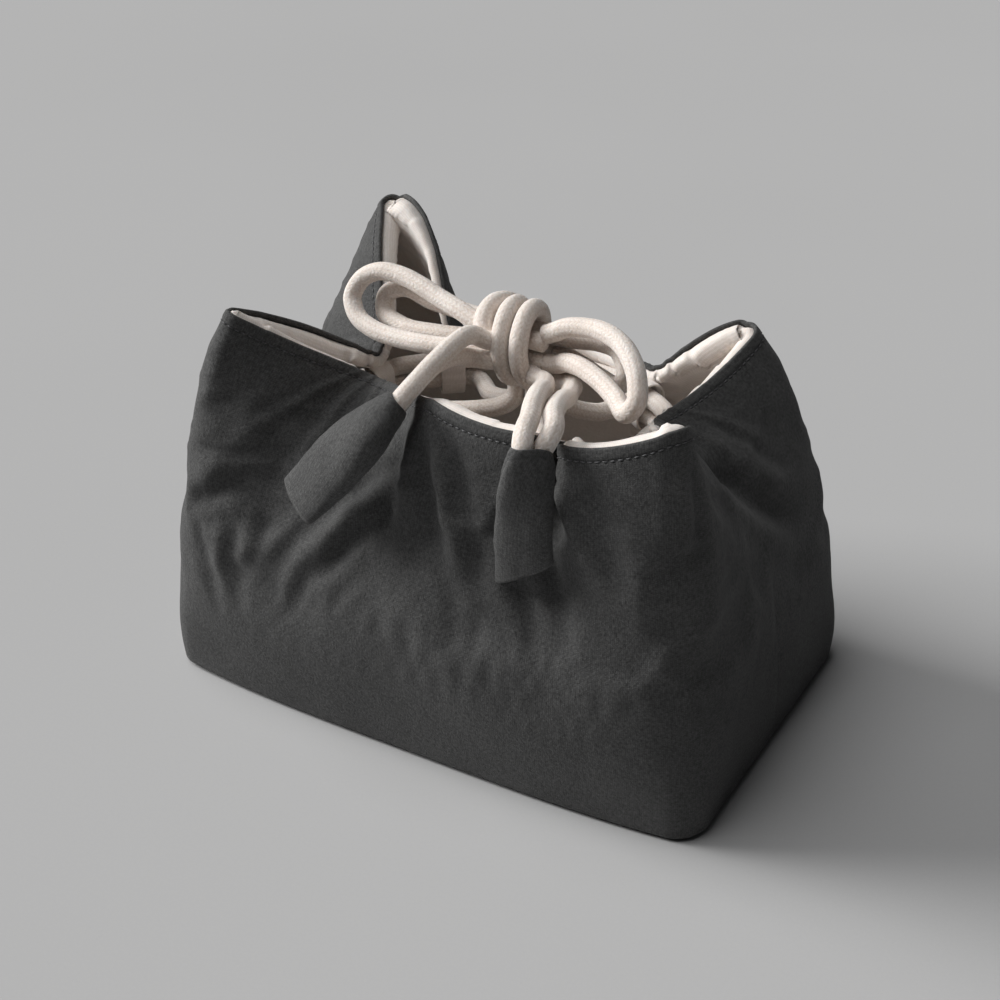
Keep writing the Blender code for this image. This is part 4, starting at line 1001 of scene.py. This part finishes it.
def make_tab(name, body, material, slant, flare, swell):
    """A cloth pouch over the cord ends, open above, flat and slanted below.

    Its end slants by that much and flares with that power, and its middle swells by that share.
    """
    half = Vector((BASE_LENGTH / 2, BASE_WIDTH / 2, WALL_HEIGHT))
    mouth, aim, end = (Vector(shares) * half for shares in TAB_AXIS_SHARES[name])
    side = (end - mouth).cross(Vector(TAB_FACES[name])).normalized()
    arched = 1 if side.cross(end - mouth).dot(Vector(TAB_FACES[name])) > 0 else -1
    angles = 2 * math.pi * np.arange(TAB_SIDES) / TAB_SIDES

    def ring(share, inset, lift, draw=1.0):
        width = TAB_MOUTH_WIDTH + (TAB_END_WIDTH - TAB_MOUTH_WIDTH) * share ** flare
        depth = TAB_MOUTH_DEPTH + (TAB_END_DEPTH - TAB_MOUTH_DEPTH) * share ** 1.2
        width *= 1 + 0.6 * swell * math.sin(math.pi * share)
        depth *= 1 + 1.6 * swell * math.sin(math.pi * share ** 0.8)
        snug = 0.7 * MM * (1 - share) ** 2
        centre = mouth.lerp(aim, share).lerp(aim.lerp(end, share), share)
        along = (aim.lerp(end, share) - mouth.lerp(aim, share)).normalized()
        twist = Matrix.Rotation(TAB_MOUTH_TWISTS[name] * (1 - share) ** 2.2, 3, along)
        across = twist @ (side - along * side.dot(along)).normalized()
        front = across.cross(along)
        bend = 1.0 - 0.14 * share
        points = []
        for a in angles:
            x, y = math.cos(a), math.sin(a)
            x = (width / 2 - inset - snug) * math.copysign(abs(x) ** bend, x)
            y = (depth / 2 - inset - snug) * draw * math.copysign(abs(y) ** bend, y)
            arch = 1.6 * MM * (1 - share) ** 3 * math.sin(a) ** 2 * (1 if y * arched > 0 else 0.4)
            slide = share * slant * 2 * x / width - lift - arch
            points.append(tuple(centre + along * slide + across * x + front * y))
        return np.array(points)

    outside = [ring(1, 4 * MM, 0.1 * MM, 0.6), ring(1, 1.0 * MM, 0.0, 0.7)]
    outside += [ring(s, 0.15 * MM, 0) for s in np.linspace(0, 1, 60)[::-1]]
    outside = np.array(outside)
    v = np.concatenate([[46, 43], np.linspace(42, 0, 60)]) * MM
    lumps = 0.55 * MM * field(outside, 0.010, 60.0) + 0.16 * MM * field(outside, 0.0035, 61.0)
    hem = 0.22 * MM * bell(v - 2.6 * MM, 0.35 * MM)[:, None]
    from_seam = np.minimum(angles, 2 * math.pi - angles)
    seam = 0.30 * MM * bell(from_seam, 0.10)[None, :] * (v > 1 * MM)[:, None]
    lift = lumps - hem - seam
    lift[:2] *= 0.2
    out = unit(outside - outside.mean(axis=1, keepdims=True))
    outside = outside + out * lift[..., None]
    heading = unit(outside[-1].mean(axis=0) - outside[-4].mean(axis=0))
    rolled = [outside[-1] + (-out[-1] * (1 - math.cos(a)) + heading * math.sin(a)) * 0.5 * MM
              for a in (0.6, 1.2, 1.9, 2.6)]
    inside = [ring(s, TAB_CLOTH + 0.35 * MM, TAB_CLOTH * s) for s in (0.01, 0.06, 0.15, 0.3, 0.5)]
    middle = inside[-1].mean(axis=0)
    inside.append(middle + (inside[-1] - middle) * 0.05)
    points = np.concatenate([outside, rolled, inside])
    v = np.concatenate([v, np.array([-0.3, -0.6, -0.9, -1.3, -2, -4, -8, -14, -22, -30]) * MM])
    u = np.arange(TAB_SIDES + 1) / TAB_SIDES * 2 * (TAB_MOUTH_WIDTH + TAB_MOUTH_DEPTH) * 0.8
    tab = grid_mesh(f"{name}_cloth", points, cloth_uv(u, v), material, wrap=True)
    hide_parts(name)
    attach(tab, body)


# Materials

class Shader:
    """A node material with short ways to add and join nodes."""

    def __init__(self, name):
        self.material = bpy.data.materials.new(name)
        self.material.use_nodes = True
        self.nodes = self.material.node_tree.nodes
        self.uv = self.add("UVMap", {}, uv_map="Cloth").outputs["UV"]
        self.place = self.add("TexCoord", {}).outputs["Object"]

    def feed(self, node, inputs):
        """Set a node's inputs, or join them to another node's output."""
        for name, value in inputs.items():
            if hasattr(value, "links"):
                self.material.node_tree.links.new(value, node.inputs[name])
            else:
                node.inputs[name].default_value = value

    def add(self, kind, inputs, **settings):
        node = self.nodes.new("ShaderNode" + kind)
        for name, value in settings.items():
            setattr(node, name, value)
        self.feed(node, inputs)
        return node

    def noise(self, scale, detail=2.0, rough=0.5, source=None, distortion=0.0):
        return self.add("TexNoise", {"Vector": source or self.place, "Scale": scale,
                                     "Detail": detail, "Roughness": rough,
                                     "Distortion": distortion}).outputs["Fac"]

    def weave(self, width, length, distortion):
        """A plain weave from the pitch of its threads both ways."""
        threads = [self.add("TexWave", {"Vector": self.uv, "Scale": BAND_SCALE / pitch,
                                        "Distortion": distortion, "Detail": 1.0,
                                        "Detail Scale": 1.5},
                            wave_type="BANDS", bands_direction=way).outputs["Fac"]
                   for pitch, way in ((width, "X"), (length, "Y"))]
        return self.math("MULTIPLY", *threads)

    def math(self, operation, a, b):
        return self.add("Math", {0: a, 1: b}, operation=operation).outputs["Value"]

    def ramp(self, source, *stops):
        """A ramp between two colours, each three numbers, or one for grey."""
        node = self.add("ValToRGB", {"Fac": source})
        for element, (place, colour) in zip(node.color_ramp.elements, stops):
            element.position = place
            element.color = (*(colour if isinstance(colour, tuple) else (colour,) * 3), 1.0)
        return node.outputs["Color"]

    def times(self, colour, share, source, *stops):
        """A colour multiplied by a ramp, in part or fully."""
        return self.add("Mix", {"Factor": share, "A": colour, "B": self.ramp(source, *stops)},
                        data_type="RGBA", blend_type="MULTIPLY").outputs["Result"]

    def spread(self, source, low, high):
        return self.add("MapRange", {"Value": source, "To Min": low,
                                     "To Max": high}).outputs["Result"]

    def bumps(self, *layers):
        """A normal from layers of height, strength and depth in mm, each over the last."""
        below = {}
        for height, strength, depth in layers:
            node = self.add("Bump", {"Height": height, "Strength": strength,
                                     "Distance": depth * MM, **below})
            below = {"Normal": node.outputs["Normal"]}
        return node.outputs["Normal"]

    def finished(self, **inputs):
        """The material, with the inputs of its surface set."""
        self.feed(self.nodes["Principled BSDF"],
                  {name.replace("_", " "): value for name, value in inputs.items()})
        return self.material


def dark_cotton(name):
    """Brushed charcoal cotton: a plain weave under short, mottled nap."""
    s = Shader(name)
    weave = s.weave(0.62 * MM, 0.55 * MM, 2.2)
    grain = s.noise(1150, 4.0, 0.70)
    stretched = s.add("Mapping", {"Vector": s.uv, "Scale": (1.0, 0.35, 1.0)}).outputs["Vector"]
    slub = s.noise(420, source=stretched)
    convexity = s.add("NewGeometry", {}).outputs["Pointiness"]
    colour = s.ramp(s.noise(34, 3.0, 0.55), (0.30, 0.064), (0.72, 0.092))
    colour = s.times(colour, 1.0, grain, (0.32, 0.54), (0.72, (1.46, 1.46, 1.45)))
    colour = s.times(colour, 0.8, weave, (0.0, 0.80), (0.8, 1.16))
    # The colour is lighter on convex edges and fold crests, by the mesh's pointiness
    colour = s.times(colour, 0.8, convexity, (0.49, 1.0), (0.58, (1.35, 1.34, 1.32)))
    return s.finished(
        Base_Color=colour, Roughness=s.spread(grain, 0.80, 0.96),
        Normal=s.bumps((weave, 0.30, 0.12), (grain, 0.90, 0.46), (slub, 0.30, 0.20)),
        Sheen_Weight=0.10, Sheen_Roughness=0.40, Sheen_Tint=(0.90, 0.90, 0.90, 1.0),
        Specular_IOR_Level=0.25)


def cream_cotton(name):
    """Unbleached muslin: thin, soft, plain weave with slubs and faint warm stains."""
    s = Shader(name)
    weave = s.weave(0.50 * MM, 0.50 * MM, 1.8)
    nap = s.noise(900, 3.0, 0.6)
    creases = s.noise(160, 3.0, 0.55, distortion=0.6)
    colour = s.ramp(s.noise(40, 3.0), (0.30, (0.86, 0.795, 0.755)), (0.70, (0.91, 0.865, 0.835)))
    colour = s.times(colour, 0.9, weave, (0.0, (0.90, 0.89, 0.87)), (0.8, 1.04))
    colour = s.times(colour, 1.0, nap, (0.25, (0.93, 0.92, 0.90)), (0.70, 1.03))
    return s.finished(
        Base_Color=colour, Roughness=s.spread(nap, 0.82, 0.97),
        Normal=s.bumps((weave, 0.25, 0.10), (nap, 0.35, 0.18), (creases, 0.35, 0.7)),
        Sheen_Weight=0.35, Sheen_Roughness=0.5, Specular_IOR_Level=0.25,
        Subsurface_Weight=0.12, Subsurface_Radius=(1.0, 0.7, 0.5), Subsurface_Scale=1.2 * MM)


def knitted_cotton(name):
    """Soft knitted cord: columns of V stitches under a light fuzz, with painted shade in its
    grooves.
    """
    s = Shader(name)
    across, along = s.add("SeparateXYZ", {"Vector": s.uv}).outputs[:2]
    within = s.math("PINGPONG", s.math("DIVIDE", across, KNIT_WALE), 0.5)
    slant = s.math("MULTIPLY", within, 1.5 * KNIT_PITCH)
    row = s.math("DIVIDE", s.math("ADD", along, slant), KNIT_PITCH)
    leg = s.math("PINGPONG", row, 0.5)
    stitch = s.math("MULTIPLY", s.math("POWER", s.math("MULTIPLY", leg, 2.0), 0.6),
                    s.math("POWER", s.math("MULTIPLY", within, 2.0), 0.5))
    nap = s.noise(1300, 3.0, 0.65)
    colour = s.ramp(s.noise(60), (0.30, (0.82, 0.75, 0.70)), (0.70, (0.88, 0.83, 0.79)))
    # Painted shade: the colour is darker and browner in the grooves between the stitches
    colour = s.times(colour, 0.85, stitch, (0.0, (0.86, 0.81, 0.77)), (0.55, 1.02))
    colour = s.times(colour, 1.0, nap, (0.25, (0.86, 0.83, 0.80)), (0.70, 1.04))
    return s.finished(
        Base_Color=colour, Roughness=s.spread(nap, 0.80, 0.97),
        Normal=s.bumps((stitch, 0.32, 0.24), (nap, 0.85, 0.34), (s.noise(330), 0.45, 0.50)),
        Sheen_Weight=0.30, Sheen_Roughness=0.5, Specular_IOR_Level=0.2,
        Subsurface_Weight=0.15, Subsurface_Radius=(1.0, 0.75, 0.55), Subsurface_Scale=1.5 * MM)


def thread_material(name):
    s = Shader(name)
    twist = s.noise(2600, 1.0)
    return s.finished(
        Base_Color=s.ramp(twist, (0.3, (0.035, 0.035, 0.037)), (0.7, (0.13, 0.13, 0.135))),
        Roughness=s.spread(twist, 0.45, 0.65), Normal=s.bumps((twist, 0.4, 0.1)),
        Specular_IOR_Level=0.5)


def floor_material():
    s = Shader("floor_grey")
    colour = s.ramp(s.noise(2.5), (0.3, (0.475, 0.475, 0.477)), (0.7, (0.489, 0.489, 0.491)))
    colour = s.times(colour, 1.0, s.noise(900, 2.0, 0.6), (0.3, 0.99), (0.7, 1.01))
    return s.finished(Base_Color=colour, Roughness=0.95, Specular_IOR_Level=0.1)


# Camera, light and floor

def make_camera():
    data = bpy.data.cameras.new("Camera")
    data.lens, data.sensor_width = 61.2, 36.0
    data.clip_start, data.clip_end = 0.01, 20.0
    camera = add_object("Camera", data)
    camera.location = (0.2343, -0.4107, 0.3326)
    camera.rotation_euler = (math.radians(60), 0, math.radians(30))
    SCENE.camera = camera


def add_sun(name, direction, strength, angle, colour=(1.0, 1.0, 1.0)):
    """A soft light that comes from a direction."""
    data = bpy.data.lights.new(name, "SUN")
    data.energy, data.angle, data.color = strength, math.radians(angle), colour
    light = add_object(name, data)
    light.rotation_euler = Vector(direction).to_track_quat("Z", "Y").to_euler()


def make_stage():
    """A faint sky, two suns and a grey floor."""
    world = bpy.data.worlds.new("World")
    SCENE.world = world
    world.use_nodes = True
    background = world.node_tree.nodes["Background"]
    background.inputs["Color"].default_value = (0.80, 0.81, 0.83, 1.0)
    background.inputs["Strength"].default_value = 0.035
    add_sun("key", (-0.88, -0.19, 0.44), 3.7, 30, (1.0, 0.995, 0.985))
    add_sun("top", (-0.28, -0.16, 0.94), 1.3, 42)
    mesh = bpy.data.meshes.new("floor")
    corners = [(x * FLOOR_HALF, y * FLOOR_HALF, 0) for x, y in ((-1, -1), (1, -1), (1, 1), (-1, 1))]
    mesh.from_pydata(corners, [], [(0, 1, 2, 3)])
    mesh.uv_layers.new(name="Cloth")
    ground = add_object("floor", mesh, floor_material())
    ground.location.z = -0.1 * MM
    SCENE.view_settings.view_transform = "Standard"


def main():
    make_camera()
    cotton = knitted_cotton("knitted_cotton")
    cinches = cord_cinches()
    make_cords(cinches, cotton)
    make_knot(cotton)
    outer = dark_cotton("brushed_dark_cotton")
    cream = cream_cotton("cream_muslin")
    thread = thread_material("dark_thread")
    walls = Walls()
    surface = outer_surface(walls)
    surface = settled_cloth(walls, surface)
    wall_panels(walls, surface, outer)
    lining_panels(walls, surface, cream)
    base_pieces(walls, outer, cream)
    rim_stitches(walls, surface, thread)
    make_cord_loops(cinches, cream)
    make_tab("left_tab", "left_tail", outer, slant=0.4 * TAB_SLANT, flare=0.35, swell=0.34)
    make_tab("right_tab", "right_tail", outer, slant=1.5 * TAB_SLANT, flare=1.9, swell=0.05)
    make_stage()


main()
